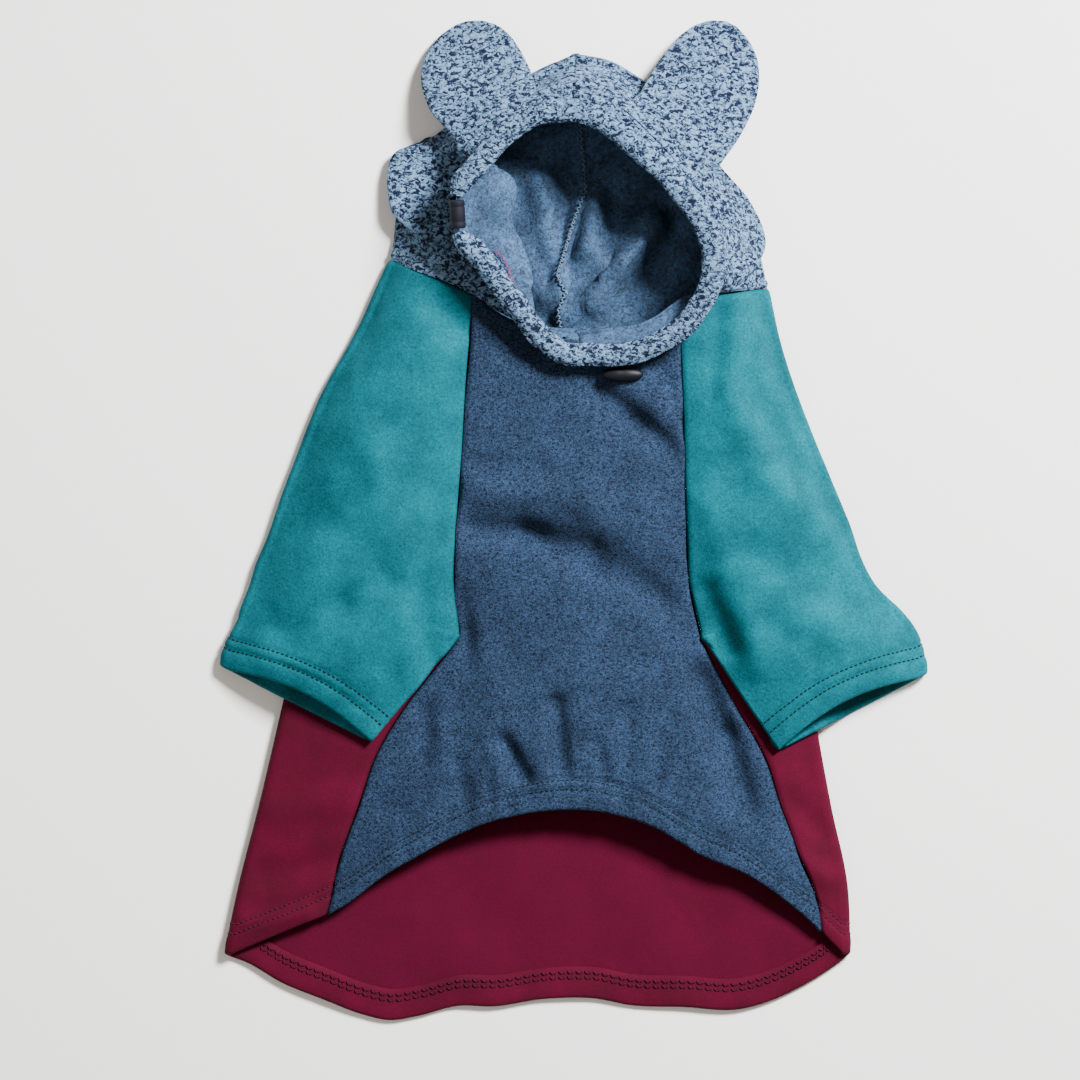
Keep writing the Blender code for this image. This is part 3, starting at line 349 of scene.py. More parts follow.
# Ears: axis in degrees from +Y, length share, hood stations of the base, outline half widths
EARS = {
    LEFT: dict(axis=19.5, length=0.90, stations=(1.0, 2.9)),
    RIGHT: dict(axis=-27.0, length=1.25, stations=(1.25, 3.3)),
}
EAR_BASE_LEVEL = 4.9
EAR_ROWS = (
    # along, outer half, inner half, height as a share of the base's
    (0.00, 0.50, 0.50, 1.00),
    (0.20, 0.54, 0.47, 0.78),
    (0.40, 0.56, 0.46, 0.55),
    (0.60, 0.54, 0.43, 0.36),
    (0.78, 0.45, 0.37, 0.22),
    (0.90, 0.32, 0.27, 0.13),
    (0.97, 0.17, 0.15, 0.09),
    (1.00, 0.06, 0.05, 0.08),
)


def smooth(xs, ys, at):
    """Value of a smooth curve through the points xs, ys, held at both ends."""
    last = len(xs) - 1
    at = min(max(at, xs[0]), xs[last])
    i = min(bisect.bisect_right(xs, at) - 1, last - 1)
    slopes = {k: (ys[k + 1] - ys[k]) / (xs[k + 1] - xs[k])
              for k in range(max(i - 1, 0), min(i + 2, last))}
    tangents = []
    for k in (i, i + 1):
        before = slopes.get(k - 1, slopes.get(k))
        after = slopes.get(k, slopes.get(k - 1))
        reach_before = xs[k] - xs[k - 1] if k else 1.0
        reach_after = xs[k + 1] - xs[k] if k < last else 1.0
        total = reach_before + reach_after
        tangents.append((before * reach_after + after * reach_before) / total)
    h = xs[i + 1] - xs[i]
    t = (at - xs[i]) / h
    return (
        ys[i] * (1 + 2 * t) * (1 - t) ** 2
        + tangents[0] * h * t * (1 - t) ** 2
        + ys[i + 1] * t * t * (3 - 2 * t)
        + tangents[1] * h * t * t * (t - 1)
    )


@functools.lru_cache(maxsize=None)
def column(rows, number):
    """One column of a table."""
    return tuple(float(row[number]) for row in rows)


@functools.lru_cache(maxsize=200000)
def table(rows, number, at):
    """Smooth value of a table's column at a place in its first column."""
    return smooth(column(rows, 0), column(rows, number), at)


def side_column(side):
    """Column of the left or right value in a table that has both."""
    return 1 if side == LEFT else 2


def ease(share):
    """Smooth step from 0 to 1."""
    share = min(max(share, 0.0), 1.0)
    return share * share * (3 - 2 * share)


def along_body(y):
    """Place down the body: 1 at the armpit, 2 at the end of the side seam."""
    drop = -y
    if drop < ARMPIT_DROP:
        return drop / ARMPIT_DROP
    return 1 + (drop - ARMPIT_DROP) / SIDE_SEAM


def seam_half(side, y):
    """Half width of the belly panel at y: raglan seam above the armpit, side seam below."""
    along = along_body(y)
    half = BELLY_WIDTH / 2 * table(RAGLAN_ROWS, side_column(side), min(along, 1.0))
    if along > 1:
        half += BELLY_FLARE * table(SIDE_ROWS, side_column(side), along - 1)
    return half


def ridge(x, y, folds, width, length, height):
    """Height that the folds of a table add at a place."""
    total = 0.0
    for from_x, from_y, to_x, to_y, half_width, share in folds:
        ax, ay = from_x * width, from_y * length
        bx, by = to_x * width, to_y * length
        span = (bx - ax) ** 2 + (by - ay) ** 2
        t = ((x - ax) * (bx - ax) + (y - ay) * (by - ay)) / span
        t = min(max(t, 0.0), 1.0)
        distance = math.hypot(x - ax - t * (bx - ax), y - ay - t * (by - ay))
        total += share * height * math.exp(-((distance / (half_width * height)) ** 2))
    return total


def body_top(x, y):
    """Height of the belly panel's outer face."""
    side = LEFT if x < 0 else RIGHT
    along = along_body(y)
    seam = BODY_HEIGHT * table(HEIGHT_ROWS, 1, along)
    middle = BODY_HEIGHT * table(HEIGHT_ROWS, 2, along)
    across = min(abs(x) / seam_half(side, y), 1.0)
    dents = ridge(x, y, FOLDS, BELLY_WIDTH / 2, -ARMPIT_DROP, BODY_HEIGHT)
    return seam + (middle - seam) * (1 - across**2) + dents * (1 - across**6)


def neck_half():
    """Half width of the flattened neck, from the front centre to the fold."""
    start = BELLY_WIDTH / 2 * (column(RAGLAN_ROWS, 1)[0] + column(RAGLAN_ROWS, 2)[0]) / 2
    return start + SLEEVE_NECK * 0.95


def neckline_y(x):
    """Place of the front neckline at x."""
    return -NECK_SCOOP * table(NECK_ROWS, 1, x / neck_half())


def nape_y(x):
    """Place of the nape seam on the floor, scooped between the two neck folds."""
    left = sleeve_fold(LEFT, 0.0)
    right = sleeve_fold(RIGHT, 0.0)
    share = (x - left[0]) / (right[0] - left[0])
    return left[1] + (right[1] - left[1]) * share - NAPE_SCOOP * 4 * share * (1 - share)


def raglan_top_y(side):
    """Place where the front raglan seam meets the neckline."""
    y = 0.0
    for _ in range(12):
        y = neckline_y(side * seam_half(side, y))
    return y


def sleeve_seam(side, along):
    """Inner edge of the sleeve in plan: raglan seam to the armpit, then the underarm."""
    top = raglan_top_y(side)
    if along <= 1:
        y = top + (-ARMPIT_DROP - top) * along
        return np.array((side * seam_half(side, y), y))
    angle = math.radians(UNDERARM_ANGLE[side])
    reach = UNDERARM * (along - 1)
    pit = np.array((side * seam_half(side, -ARMPIT_DROP), -ARMPIT_DROP))
    return pit + reach * np.array((side * math.sin(angle), -math.cos(angle)))


def sleeve_fold(side, along):
    """Outer fold of the sleeve in plan."""
    rows = SLEEVE_ROWS[side]
    width = SLEEVE_NECK * table(rows, 1, along)
    width += SLEEVE_WIDTH * table(rows, 2, along)
    width += CUFF_WIDTH * table(rows, 3, along)
    lift = math.radians(table(rows, 4, along))
    return sleeve_seam(side, along) + width * np.array((side * math.cos(lift), math.sin(lift)))


def sleeve_pivot(side):
    """Point in plan where the sleeve's back raglan seam reaches the body's fold."""
    inner = sleeve_seam(side, 1.0)
    return inner + FOLD_START[side] * (sleeve_fold(side, 1.0) - inner)


def fold_start(side):
    """Point in plan where the body's fold starts, just inside the sleeve's lower layer."""
    return sleeve_pivot(side) - np.array((side * FOLD_RADIUS / 2, 0.0))


def back_seam(side, along):
    """Back raglan seam on the floor, from the nape to the body's fold."""
    neck_x = BACK_NECK_SHARE * sleeve_fold(side, 0.0)[0]
    start = np.array((neck_x, nape_y(neck_x)))
    end = sleeve_pivot(side)
    bow = math.sin(math.pi * along) * 0.03 * (end - start)[1]
    return start + (end - start) * along + np.array((side * bow, 0.0))


def back_seam_lift(along):
    """Height of the back raglan seam, which leaves the floor just before the fold."""
    return FOLD_RADIUS * ease((along - 0.8) / 0.2)


def hem_corner(side):
    """Point in plan where the body's fold ends at the hem."""
    end_y = -ARMPIT_DROP - SIDE_SEAM
    half = seam_half(side, end_y) + FLAP_WIDTH * FLAP_SHARE[side]
    return np.array((side * half, end_y - CORNER_DROP))


def fold_half(side, y):
    """Half width of the body at its fold."""
    start = fold_start(side)
    end = hem_corner(side)
    along = (y - start[1]) / (end[1] - start[1])
    share = table(FOLD_ROWS, side_column(side), along)
    return abs(start[0] + (end[0] - start[0]) * share)


def flap_top(side, x, y):
    """Height of the back panel's flap, from the fold to the side seam."""
    outer = fold_half(side, y)
    inner = seam_half(side, y)
    share = ease((outer - abs(x)) / (outer - inner))
    seam = BODY_HEIGHT * table(HEIGHT_ROWS, 1, max(along_body(y), 1.0))
    fold = 2 * FOLD_RADIUS
    edge = outer - abs(x)
    if edge < FOLD_RADIUS:
        rest = FOLD_RADIUS - max(edge, 0.0)
        fold = FOLD_RADIUS + math.sqrt(max(FOLD_RADIUS**2 - rest**2, 0.0))
    return fold + (seam - 2 * FOLD_RADIUS) * share


def laid_height(side, x, y):
    """Height of a layer that lies on the floor beside the body and climbs on to its flap."""
    run_up = 5 * FOLD_RADIUS
    beyond = abs(x) - fold_half(side, y)
    if beyond >= run_up:
        return 0.0
    if abs(x) <= seam_half(side, y):
        return body_top(x, y) + 2 * LAY_GAP
    if beyond <= -FOLD_RADIUS:
        return flap_top(side, x, y) + 2 * LAY_GAP
    flap = flap_top(side, side * (fold_half(side, y) - FOLD_RADIUS), y) + 2 * LAY_GAP
    return flap * ease((run_up - beyond) / (run_up + FOLD_RADIUS))


def fold_angles(count):
    """Angles of a half round fold from its upper to its lower end."""
    return [math.pi / 2 - math.pi * (k + 1) / (count + 1) for k in range(count)]


def sleeve_section(side, along, top_count, below):
    """Points of one section from the seam over the upper layer, round the fold and back below.

    With below False the lower layer ends at the back raglan seam, else at the underarm.
    """
    inner = sleeve_seam(side, along)
    outer = sleeve_fold(side, along)
    out = (outer - inner) / np.linalg.norm(outer - inner)
    centre = outer - FOLD_RADIUS * out
    hem = CUFF_BOW * ease(2 * along - 3)
    down = np.array((out[1], -out[0])) * side
    crown = SLEEVE_HEIGHT * table(SLEEVE_HEIGHT_ROWS, 1, along)
    closed = along > 1 or (below and along == 1)
    if closed:
        start = laid_height(side, *inner) + FOLD_RADIUS * ease((along - 1) * 4)
    else:
        start = BODY_HEIGHT * table(HEIGHT_ROWS, 1, along_body(inner[1]))
    points = []
    for k in range(top_count + 1):
        share = k / top_count
        shape = smooth((0, 0.12, 0.45, 0.78, 1), (0, 0.52, 1, 0.62, 0), share)
        level = start + (2 * FOLD_RADIUS - start) * share
        height = level + (crown - level) * shape
        plan = inner + (centre - inner) * share - down * hem * math.sin(math.pi * share)
        points.append((plan[0], plan[1], height))
    for angle in fold_angles(9):
        plan = centre + out * FOLD_RADIUS * math.cos(angle)
        points.append((plan[0], plan[1], FOLD_RADIUS * (1 + math.sin(angle))))
    pivot = inner + FOLD_START[side] * (outer - inner) if below else back_seam(side, along)
    for share in np.linspace(0, 1, 24):
        plan = centre + (pivot - centre) * share
        if below:
            height = laid_height(side, *plan)
        else:
            height = back_seam_lift(along) * ease(share * 3 - 2)
        points.append((plan[0], plan[1], height))
    if below:
        hug = 1 - ease(2 * along - 2)
        points[-1] = (pivot[0], pivot[1], points[-1][2] * (1 - hug) + FOLD_RADIUS * hug)
        clear = (FOLD_RADIUS + 2 * LAY_GAP) * math.sqrt(0.5)
        plan = pivot - out * (1.5 * FOLD_RADIUS - clear)
        height = laid_height(side, *plan) * (1 - hug) + (FOLD_RADIUS + clear) * hug
        points.append((plan[0], plan[1], height))
        ledge = pivot - out * 1.5 * FOLD_RADIUS
        for share in np.linspace(0, 1, 30):
            plan = ledge + (inner - ledge) * share
            height = laid_height(side, *plan) if share < 1 else start
            points.append((plan[0], plan[1], height))
    return points


@functools.lru_cache(maxsize=None)
def neck_line(side):
    """Points of half the neck seam, from the nape round the fold to the front centre."""
    section = sleeve_section(side, 0.0, SLEEVE_COLUMNS, False)
    nape = [(x, nape_y(x), 0.0) for x in np.linspace(0.0, section[-1][0], 10)[:-1]]
    belly_edge = section[0]
    front = [(x, neckline_y(x), body_top(x, neckline_y(x)))
             for x in np.linspace(belly_edge[0], 0.0, 12)[1:]]
    points = np.array(nape + section[::-1] + front)
    points[:, 2] += 2 * LAY_GAP * np.clip(points[:, 2] / (2 * FOLD_RADIUS), 0.0, 1.0)
    lengths = np.concatenate(([0.0], np.cumsum(np.linalg.norm(np.diff(points, axis=0), axis=1))))
    return points, lengths


def neck_loop(side, share):
    """Point of the neck seam: 0 at the nape centre, 1 at the front centre."""
    points, lengths = neck_line(side)
    at = share * lengths[-1]
    return np.array([np.interp(at, lengths, points[:, k]) for k in range(3)])


def rim_point(side, share):
    """Middle of the rolled rim: 0 at the forehead, 1 at the chin."""
    rows = RIM_ROWS[side]
    x = MOUTH_CENTRE[0] + MOUTH_WIDTH / 2 * table(rows, 1, share)
    y = MOUTH_CENTRE[1] + MOUTH_LENGTH / 2 * table(rows, 2, share)
    return np.array((x, y, HOOD_HEIGHT * table(rows, 3, share)))


@functools.lru_cache(maxsize=None)
def hood_path(side, station):
    """Control points of the hood's outer face at a station, from the neck to the rim."""
    rows = HOOD_ROWS[side]
    steps = range(len(rows))
    neck, ex, ey, ez, roll, cx, cy, cz, lap, rim = (
        smooth(steps, column(rows, k), station) for k in range(10)
    )
    start = neck_loop(side, neck)
    edge = np.array((ex * HOOD_WIDTH / 2, ey * HOOD_DEPTH, ez * HOOD_HEIGHT))
    roll = min(max(roll, 0.0), 1.0)
    crease = np.array((cx * HOOD_WIDTH / 2, cy * HOOD_DEPTH, cz * HOOD_HEIGHT))
    inwards = crease - edge
    inwards[2] = 0.0
    inwards *= FOLD_RADIUS / np.linalg.norm(inwards)
    rise = np.array((0.0, 0.0, FOLD_RADIUS))
    under = edge + roll * (inwards - rise) + (1 - roll) * (start - edge) / 3
    over = edge + roll * (inwards + rise) + (1 - roll) * (crease - edge) / 3
    middle = (start + under) / 2
    finish = rim_point(side, rim)
    finish[2] -= RIM_THICKNESS / 2 + 2 * LAY_GAP + CLOTH * min(max(lap, 0.0), 1.0)
    return np.array((start, middle, under, edge, over, crease, finish))


def hood_point(side, station, level):
    """Point of the hood's outer face; level runs from 0 at the neck to 6 at the rim."""
    path = hood_path(side, station)
    steps = range(len(path))
    point = np.array([smooth(steps, path[:, k], level) for k in range(3)])
    if level < 2:
        puff = ridge(point[0], point[1], HOOD_FOLDS, HOOD_WIDTH / 2, HOOD_DEPTH, HOOD_HEIGHT)
        point[2] += puff * ease(level * 4) * ease((2 - level) * 2)
    point[2] = max(point[2], 0.0)
    return point


def belly_hem_y(across):
    """Free edge of the belly at a share of its half width."""
    return -ARMPIT_DROP - SIDE_SEAM + BELLY_SCOOP * table(SCOOP_ROWS, 1, across)


def belly_point(across, along, hem):
    """Point of the belly's outer face; hem is how far above its free edge the panel ends."""
    side = LEFT if across < 0 else RIGHT
    top = raglan_top_y(side)
    start_x = across * seam_half(side, top)
    if along < 0.5:
        start = neckline_y(start_x)
        y = start + (-ARMPIT_DROP - start) * 2 * along
    else:
        end = belly_hem_y(across) + hem
        y = -ARMPIT_DROP + (end + ARMPIT_DROP) * (2 * along - 1)
    share = ease(along * 6)
    x = start_x * (1 - share) + across * seam_half(side, y) * share
    return (x, y, body_top(x, y))


def tail_hem_y(x):
    """Tail hem on the floor at x."""
    corner = hem_corner(LEFT if x < 0 else RIGHT)
    return corner[1] - TAIL_DROP * table(TAIL_ROWS, 1, x / abs(corner[0]))


def floor_row(left, right, lift, y_of, columns):
    """Points of the floor layer from the left fold to the right one."""
    turns = (0.0, 22.5, 45.0, 67.5)
    places = []
    for turn in turns:
        inwards = FOLD_RADIUS * (1 - math.cos(math.radians(turn)))
        rise = lift * (1 - math.sin(math.radians(turn)))
        places.append((left[0] + inwards, rise))
    for x in np.linspace(left[0] + FOLD_RADIUS, right[0] - FOLD_RADIUS, columns):
        places.append((x, 0.0))
    for turn in turns[::-1]:
        inwards = FOLD_RADIUS * (1 - math.cos(math.radians(turn)))
        rise = lift * (1 - math.sin(math.radians(turn)))
        places.append((right[0] - inwards, rise))
    return [(x, y_of(x), z) for x, z in places]


def chord_y(left, right, x):
    """Place at x on the straight line between two plan points."""
    return left[1] + (right[1] - left[1]) * (x - left[0]) / (right[0] - left[0])


def rim_frame(side, share):
    """Middle of the rim and its way outwards at a share of its half loop."""
    near, far = max(share - 0.004, 0.0), min(share + 0.004, 1.0)
    ahead = rim_point(side, far) - rim_point(side, near)
    out = np.cross(ahead, (0.0, 0.0, 1.0)) * (-side)
    return rim_point(side, share), out / np.linalg.norm(out)


def rim_gap():
    """Shares of the left half loop between which the rim is open for the barrel stop."""
    half_gap = BARREL_LENGTH / 2 + 5 * LAY_GAP
    shares = np.linspace(0, 1, 400)
    path = np.array([rim_point(LEFT, share) for share in shares])
    lengths = np.concatenate(([0.0], np.cumsum(np.linalg.norm(np.diff(path, axis=0), axis=1))))
    middle = np.interp(BARREL_ALONG, shares, lengths)
    first = float(np.interp(middle - half_gap, lengths, shares))
    last = float(np.interp(middle + half_gap, lengths, shares))
    return first, last


# Finer sampling than the solids have
COLUMN_STEP = 0.0021
ROW_STEP = 0.0024
SEAM_DIP = 0.0013
SEAM_SPREAD = 0.0016
HEM_ROLL = 0.0019
HEM_DEPTH = 0.017
STITCH_PITCH = 0.0031
STITCH_LENGTH = 0.0023
STITCH_RADIUS = 0.00042

# Folds of the upper layers in the garment's frame: ends in metres, half width and height in
# millimetres; a fold with a negative height is a dip
BELLY_STROKES = (
    # from x, from y, to x, to y, half width, height
    (0.031, 0.082, 0.066, 0.052, 11.0, 2.6),
    (0.014, 0.071, 0.036, 0.053, 8.0, -1.6),
    (0.036, 0.055, 0.061, 0.037, 8.5, -3.2),
    (0.053, 0.087, 0.062, 0.070, 5.0, -2.2),
    (-0.062, 0.033, -0.020, 0.031, 5.0, -1.6),
    (-0.020, 0.031, 0.034, 0.024, 5.0, -1.3),
    (-0.060, 0.014, 0.010, 0.006, 12.0, 2.6),
    (0.010, 0.006, 0.058, -0.020, 12.0, 2.8),
    (-0.064, -0.008, -0.022, -0.012, 7.0, -2.6),
    (-0.030, -0.009, 0.012, -0.031, 9.0, -3.8),
    (0.012, -0.031, 0.052, -0.052, 9.0, -3.0),
    (0.050, -0.022, 0.066, -0.036, 6.0, -1.2),
    (-0.058, -0.066, -0.040, -0.130, 11.0, 1.8),
    (-0.072, -0.048, -0.065, -0.074, 5.5, -3.0),
    (-0.090, -0.116, -0.086, -0.130, 6.0, -2.4),
    (-0.070, -0.148, -0.068, -0.164, 6.5, -3.2),
    (-0.082, -0.126, -0.074, -0.150, 8.0, 1.6),
    (-0.042, -0.134, -0.030, -0.156, 5.0, -3.0),
    (-0.052, -0.128, -0.044, -0.160, 7.0, 1.8),
    (-0.012, -0.112, -0.008, -0.150, 5.0, -2.8),
    (-0.020, -0.118, -0.018, -0.160, 6.0, 1.6),
    (0.014, -0.136, 0.020, -0.160, 5.0, -1.8),
    (0.030, -0.140, 0.034, -0.162, 4.0, -1.4),
    (0.052, -0.134, 0.050, -0.160, 5.0, -1.8),
    (0.076, -0.098, 0.090, -0.130, 9.0, -4.6),
    (0.090, -0.130, 0.106, -0.176, 8.0, -3.4),
    (0.064, -0.096, 0.078, -0.150, 9.0, 2.2),
    (0.108, -0.140, 0.122, -0.200, 8.0, 1.6),
    (-0.118, -0.168, -0.096, -0.182, 6.0, -1.2),
)
LEFT_STROKES = (
    # from x, from y, to x, to y, half width, height
    (-0.082, 0.128, -0.068, 0.112, 9.0, -2.4),
    (-0.124, 0.050, -0.104, -0.030, 13.0, 1.6),
    (-0.150, -0.004, -0.108, -0.030, 12.0, -1.9),
    (-0.138, -0.052, -0.114, -0.038, 9.0, -2.6),
    (-0.172, -0.072, -0.140, -0.052, 9.0, -1.8),
    (-0.176, -0.050, -0.150, -0.036, 9.0, 1.4),
    (-0.092, -0.040, -0.084, -0.086, 7.0, -2.0),
    (-0.104, -0.060, -0.098, -0.100, 8.0, 1.4),
    (-0.074, -0.060, -0.080, -0.078, 6.0, 1.4),
    (-0.100, 0.082, -0.112, 0.060, 11.0, -1.0),
)
RIGHT_STROKES = (
    # from x, from y, to x, to y, half width, height
    (0.086, 0.124, 0.082, 0.072, 6.0, -1.3),
    (0.098, 0.126, 0.096, 0.070, 7.0, 1.2),
    (0.104, 0.082, 0.140, 0.018, 9.0, -2.6),
    (0.090, 0.076, 0.122, 0.014, 11.0, 1.6),
    (0.118, 0.022, 0.160, -0.010, 12.0, 2.2),
    (0.106, -0.022, 0.158, -0.044, 13.0, -2.6),
    (0.078, 0.010, 0.094, -0.030, 10.0, 1.4),
    (0.078, -0.046, 0.092, -0.080, 9.0, -3.0),
    (0.116, -0.066, 0.150, -0.082, 9.0, -1.2),
    (0.100, -0.054, 0.112, -0.088, 9.0, 2.0),
)
FLAP_STROKES = (
    # from x, from y, to x, to y, half width, height
    (-0.178, -0.176, -0.136, -0.170, 10.0, 1.2),
    (-0.186, -0.214, -0.140, -0.206, 8.0, -1.2),
    (-0.196, -0.244, -0.160, -0.238, 6.0, 1.4),
    (0.122, -0.196, 0.150, -0.216, 7.0, 1.4),
    (0.130, -0.170, 0.150, -0.190, 7.0, -1.0),
)


def grid_of(rows):
    """Array of a grid's points, moved from the plan to the garment's place."""
    return np.array(rows, dtype=float) + SHIFT


def travel(grid, axis):
    """Distance along a grid's rows or columns from its first line."""
    steps = np.linalg.norm(np.diff(grid, axis=axis), axis=2)
    start = np.zeros_like(np.take(steps, [0], axis=axis))
    return np.concatenate((start, np.cumsum(steps, axis=axis)), axis=axis)


def normals_of(grid, sign):
    """Unit normals of a grid; sign +1 or -1 picks the outer side."""
    down = np.gradient(grid, axis=0)
    across = np.gradient(grid, axis=1)
    normal = np.cross(across, down) * sign
    return normal / np.maximum(np.linalg.norm(normal, axis=2, keepdims=True), 1e-12)


def strokes_height(points, strokes, gain=1.0):
    """Height in metres that a table of folds adds at each point."""
    total = np.zeros(points.shape[:-1])
    for ax, ay, bx, by, half, height in strokes:
        span = (bx - ax) ** 2 + (by - ay) ** 2
        t = ((points[..., 0] - ax) * (bx - ax) + (points[..., 1] - ay) * (by - ay)) / span
        t = np.clip(t, 0.0, 1.0)
        gap_x = points[..., 0] - ax - t * (bx - ax)
        gap_y = points[..., 1] - ay - t * (by - ay)
        total += gain * height / 1000 * np.exp(-(gap_x**2 + gap_y**2) / (half / 1000) ** 2)
    return total


def unevenness(points, size, seed):
    """Smooth noise from -1 to 1 with bumps of one size."""
    flat = points.reshape(-1, points.shape[-1])
    values = [noise.noise(Vector((p[0] / size + seed, p[1] / size, p[2] / size))) for p in flat]
    return np.array(values).reshape(points.shape[:-1])


def lie_of_cloth(grid, normal, soft, fine, seed):
    """Slight waves and fine unevenness that any laid cloth has."""
    wave = unevenness(grid, 0.032, seed) * soft + unevenness(grid, 0.009, seed + 7.3) * fine
    return grid + normal * wave[..., None]


def dip_edge(grid, normal, edge, depth=SEAM_DIP, spread=SEAM_SPREAD):
    """Let a panel's edge sink into its seam."""
    axis = 0 if edge.endswith("row") else 1
    distance = travel(grid, axis)
    if edge.startswith("last"):
        distance = np.take(distance, [-1], axis=axis) - distance
    return grid - normal * (depth * np.exp(-((distance / spread) ** 2)))[..., None]


def line_relief(grid, normal, edge, places):
    """Grooves and ridges parallel to an edge: distance, half width and height of each."""
    axis = 0 if edge.endswith("row") else 1
    distance = travel(grid, axis)
    if edge.startswith("last"):
        distance = np.take(distance, [-1], axis=axis) - distance
    relief = sum(h * np.exp(-(((distance - d) / w) ** 2)) for d, w, h in places)
    return grid + normal * relief[..., None]


def turned_hem(grid, normals, depth, roll=HEM_ROLL):
    """Rows that carry a panel on round its last row and back inside as the hem's allowance."""
    edge = grid[-1]
    out = edge - grid[-3]
    normal = normals[-1]
    out = out - normal * np.sum(out * normal, axis=1, keepdims=True)
    out /= np.maximum(np.linalg.norm(out, axis=1, keepdims=True), 1e-12)
    rows = []
    for turn in (30, 60, 90, 120, 150, 180):
        angle = math.radians(turn)
        rows.append(edge + out * roll * math.sin(angle) - normal * roll * (1 - math.cos(angle)))
    count = max(int(depth / ROW_STEP / 1.4), 2)
    for share in np.linspace(0, 1, count)[1:]:
        points, ups = line_at(grid, normals, "last_row", depth * share)
        rows.append(points - ups * roll * 2)
    return np.concatenate((grid, np.array(rows)))


def line_at(grid, normal, edge, distance):
    """Points and normals of a line on a grid at one distance from an edge."""
    if edge.endswith("column"):
        grid, normal = grid.transpose(1, 0, 2), normal.transpose(1, 0, 2)
    if edge.startswith("last"):
        grid, normal = grid[::-1], normal[::-1]
    far = travel(grid, 0)
    points, ups = [], []
    for k in range(grid.shape[1]):
        points.append([np.interp(distance, far[:, k], grid[:, k, i]) for i in range(3)])
        ups.append([np.interp(distance, far[:, k], normal[:, k, i]) for i in range(3)])
    return np.array(points), np.array(ups)


def walk(points, ups, step):
    """Points and normals at even steps along a line."""
    steps = np.linalg.norm(np.diff(points, axis=0), axis=1)
    far = np.concatenate(([0.0], np.cumsum(steps)))
    places = np.arange(step, far[-1] - step, step)
    spots = np.stack([np.interp(places, far, points[:, i]) for i in range(3)], axis=1)
    lifts = np.stack([np.interp(places, far, ups[:, i]) for i in range(3)], axis=1)
    ahead = np.stack([np.interp(places + step / 4, far, points[:, i]) for i in range(3)], axis=1)
    ahead -= spots
    ahead /= np.maximum(np.linalg.norm(ahead, axis=1, keepdims=True), 1e-12)
    lifts /= np.maximum(np.linalg.norm(lifts, axis=1, keepdims=True), 1e-12)
    return spots, lifts, ahead


def stitches(name, lines, material, radius=STITCH_RADIUS, pitch=STITCH_PITCH,
             length=STITCH_LENGTH, slant=0.0, lift=0.0):
    """Rows of short stitches, each a small spindle that dives into the cloth at its ends."""
    sides = 6
    rings = ((-0.5, 0.35, -0.6), (-0.3, 0.95, 0.35), (0.0, 1.0, 0.6), (0.3, 0.95, 0.35), (0.5, 0.35, -0.6))
    verts, faces = [], []
    for points, ups in lines:
        for number, (spot, up, ahead) in enumerate(zip(*walk(points, ups, pitch))):
            side = np.cross(ahead, up)
            lean = slant if number % 2 else -slant
            heading = ahead * math.cos(lean) + side * math.sin(lean)
            side = np.cross(heading, up)
            first = len(verts)
            for along, wide, high in rings:
                centre = spot + heading * length * along + up * (radius * high + lift)
                for k in range(sides):
                    angle = 2 * math.pi * k / sides
                    turn = side * math.cos(angle) + up * math.sin(angle)
                    verts.append(centre + turn * radius * wide)
            for ring in range(len(rings) - 1):
                for k in range(sides):
                    a = first + ring * sides + k
                    b = first + ring * sides + (k + 1) % sides
                    faces.append((a, b, b + sides, a + sides))
            faces.append(tuple(first + k for k in range(sides))[::-1])
            faces.append(tuple(first + (len(rings) - 1) * sides + k for k in range(sides)))
    mesh = bpy.data.meshes.new(name)
    mesh.from_pydata([(v[0], v[1], max(v[2], 0.0)) for v in verts], [], faces)
    mesh.materials.append(material)
    mesh.shade_smooth()
    piece = bpy.data.objects.new(name, mesh)
    bpy.context.scene.collection.objects.link(piece)
    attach(piece, "root")
    return piece


def cloth(name, grids, flip, outer, inner, thickness=CLOTH):
    """Panel of cloth from grids that share lines; its wall stands behind the outer face."""
    work = bmesh.new()
    layer = work.loops.layers.uv.new("weave")
    for grid in grids:
        across = travel(grid, 1)
        across = across - across[:, grid.shape[1] // 2][:, None]
        down = travel(grid, 0)
        verts = [[work.verts.new(point) for point in row] for row in grid]
        for r in range(len(verts) - 1):
            for c in range(len(verts[r]) - 1):
                spots = ((r, c), (r, c + 1), (r + 1, c + 1), (r + 1, c))
                if not flip:
                    spots = spots[::-1]
                face = work.faces.new([verts[i][j] for i, j in spots])
                for loop, (i, j) in zip(face.loops, spots):
                    loop[layer].uv = (across[i, j], down[i, j])
    bmesh.ops.remove_doubles(work, verts=work.verts, dist=2e-5)
    mesh = bpy.data.meshes.new(name)
    work.to_mesh(mesh)
    work.free()
    mesh.materials.append(outer)
    mesh.materials.append(inner)
    mesh.shade_smooth()
    piece = bpy.data.objects.new(name, mesh)
    bpy.context.scene.collection.objects.link(piece)
    wall = piece.modifiers.new("wall", "SOLIDIFY")
    wall.thickness = thickness
    wall.offset = -1.0
    wall.use_even_offset = False
    wall.use_quality_normals = True
    wall.material_offset = 1
    graph = bpy.context.evaluated_depsgraph_get()
    walled = bpy.data.meshes.new_from_object(piece.evaluated_get(graph))
    piece.modifiers.clear()
    piece.data = walled
    for vertex in walled.vertices:
        vertex.co.z = max(vertex.co.z, 0.0)
    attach(piece, "root")
    return piece


def spaced(length, step):
    """Even shares from 0 to 1, about one step of a length apart."""
    return np.linspace(0, 1, max(int(round(length / step)), 2) + 1)


